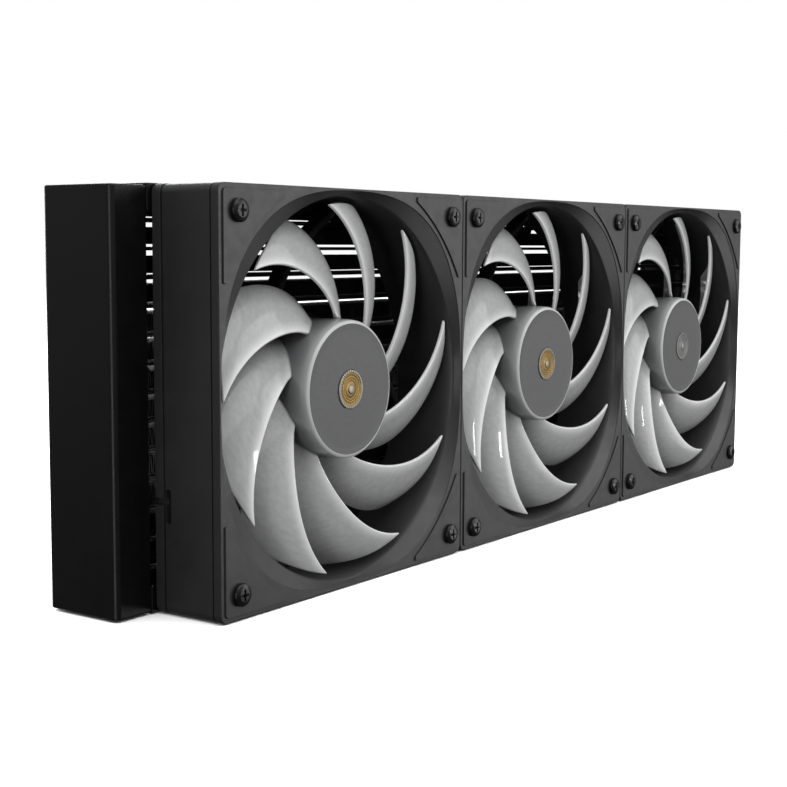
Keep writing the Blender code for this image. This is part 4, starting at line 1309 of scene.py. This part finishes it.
def add_softbox(name, azimuth, elevation, distance, size, radiance):
    """A rectangular softbox aimed at the middle fan, its size in metres and its angles in degrees."""
    data = bpy.data.lights.new(name, "AREA")
    data.shape = "RECTANGLE"
    data.size, data.size_y = size
    data.energy = radiance * math.pi * size[0] * size[1]
    light = bpy.data.objects.new(name, data)
    bpy.context.scene.collection.objects.link(light)
    towards = direction(math.radians(azimuth), math.radians(elevation))
    light.location = Vector((0, 0, RADIATOR_MIDDLE)) + towards * distance
    light.rotation_euler = (-towards).to_track_quat("-Z", "Y").to_euler()
    light.visible_camera = False
    return light


def add_stage():
    """A pale floor under a white studio. It is lit by a light of its own and throws none on the object."""
    bm = bmesh.new()
    bmesh.ops.create_circle(bm, cap_ends=True, segments=96, radius=3)
    mesh = mesh_from(bm, "floor")
    graph = Graph("pale_floor")
    clouds = graph.noise(1.5, 3)
    colour = graph.mix(graph.remap(clouds, 0, 1), (0.86, 0.86, 0.86), (0.9, 0.9, 0.9))
    graph.set("Base Color", colour)
    graph.set("Roughness", graph.remap(graph.noise(20, 3), 0.7, 0.8))
    mesh.materials.append(graph.material)
    floor = add_object("floor", mesh)
    floor.location.z = RADIATOR_LOW.z - 0.2 * MM
    for rays in ("diffuse", "glossy", "transmission", "shadow"):
        setattr(floor, "visible_" + rays, False)
    light = add_softbox("floor_light", *FLOOR_LIGHT)
    only_floor = bpy.data.collections.new("floor_only")
    only_floor.objects.link(floor)
    light.light_linking.receiver_collection = only_floor


def add_sky():
    """White behind the object. As a light it is dim, and darker below the horizon."""
    world = bpy.data.worlds.new("studio_sky")
    bpy.context.scene.world = world
    world.use_nodes = True
    nodes = world.node_tree.nodes
    links = world.node_tree.links
    nodes.clear()
    output = nodes.new("ShaderNodeOutputWorld")
    mix = nodes.new("ShaderNodeMixShader")
    path = nodes.new("ShaderNodeLightPath")
    place = nodes.new("ShaderNodeTexCoord")
    split = nodes.new("ShaderNodeSeparateXYZ")
    rise = nodes.new("ShaderNodeMapRange")
    for name, number in zip(RANGE_INPUTS, (*SKY_HORIZON, SKY_BELOW, SKY_ABOVE)):
        rise.inputs[name].default_value = number
    dim, white = [nodes.new("ShaderNodeBackground") for _ in range(2)]
    for background in (dim, white):
        background.inputs["Color"].default_value = (1, 1, 1, 1)
    for source, target in (
        (place.outputs["Generated"], split.inputs["Vector"]),
        (split.outputs["Z"], rise.inputs["Value"]),
        (rise.outputs["Result"], dim.inputs["Strength"]),
        (path.outputs["Is Camera Ray"], mix.inputs["Fac"]),
        (dim.outputs["Background"], mix.inputs[1]),
        (white.outputs["Background"], mix.inputs[2]),
        (mix.outputs["Shader"], output.inputs["Surface"]),
    ):
        links.new(source, target)


def add_lights():
    for name, values in SOFTBOXES.items():
        add_softbox(name, *values)


def add_camera():
    data = bpy.data.cameras.new("photo_camera")
    data.lens = CAMERA_LENS
    data.sensor_width = 36
    camera = bpy.data.objects.new("photo_camera", data)
    bpy.context.scene.collection.objects.link(camera)
    back = direction(CAMERA_AZIMUTH, CAMERA_ELEVATION)
    turn = (-back).to_track_quat("-Z", "Y").to_matrix().to_4x4()
    camera.matrix_world = Matrix.Translation(CAMERA_PLACE) @ turn @ Matrix.Rotation(CAMERA_ROLL, 4, "Z")
    data.clip_start = 0.01
    data.clip_end = 50
    bpy.context.scene.camera = camera


MATERIALS = make_materials()
add_camera()
add_fans()
add_radiator()
finish_inner_nodes()
add_stage()
add_sky()
add_lights()
bpy.context.scene.view_settings.view_transform = "Standard"
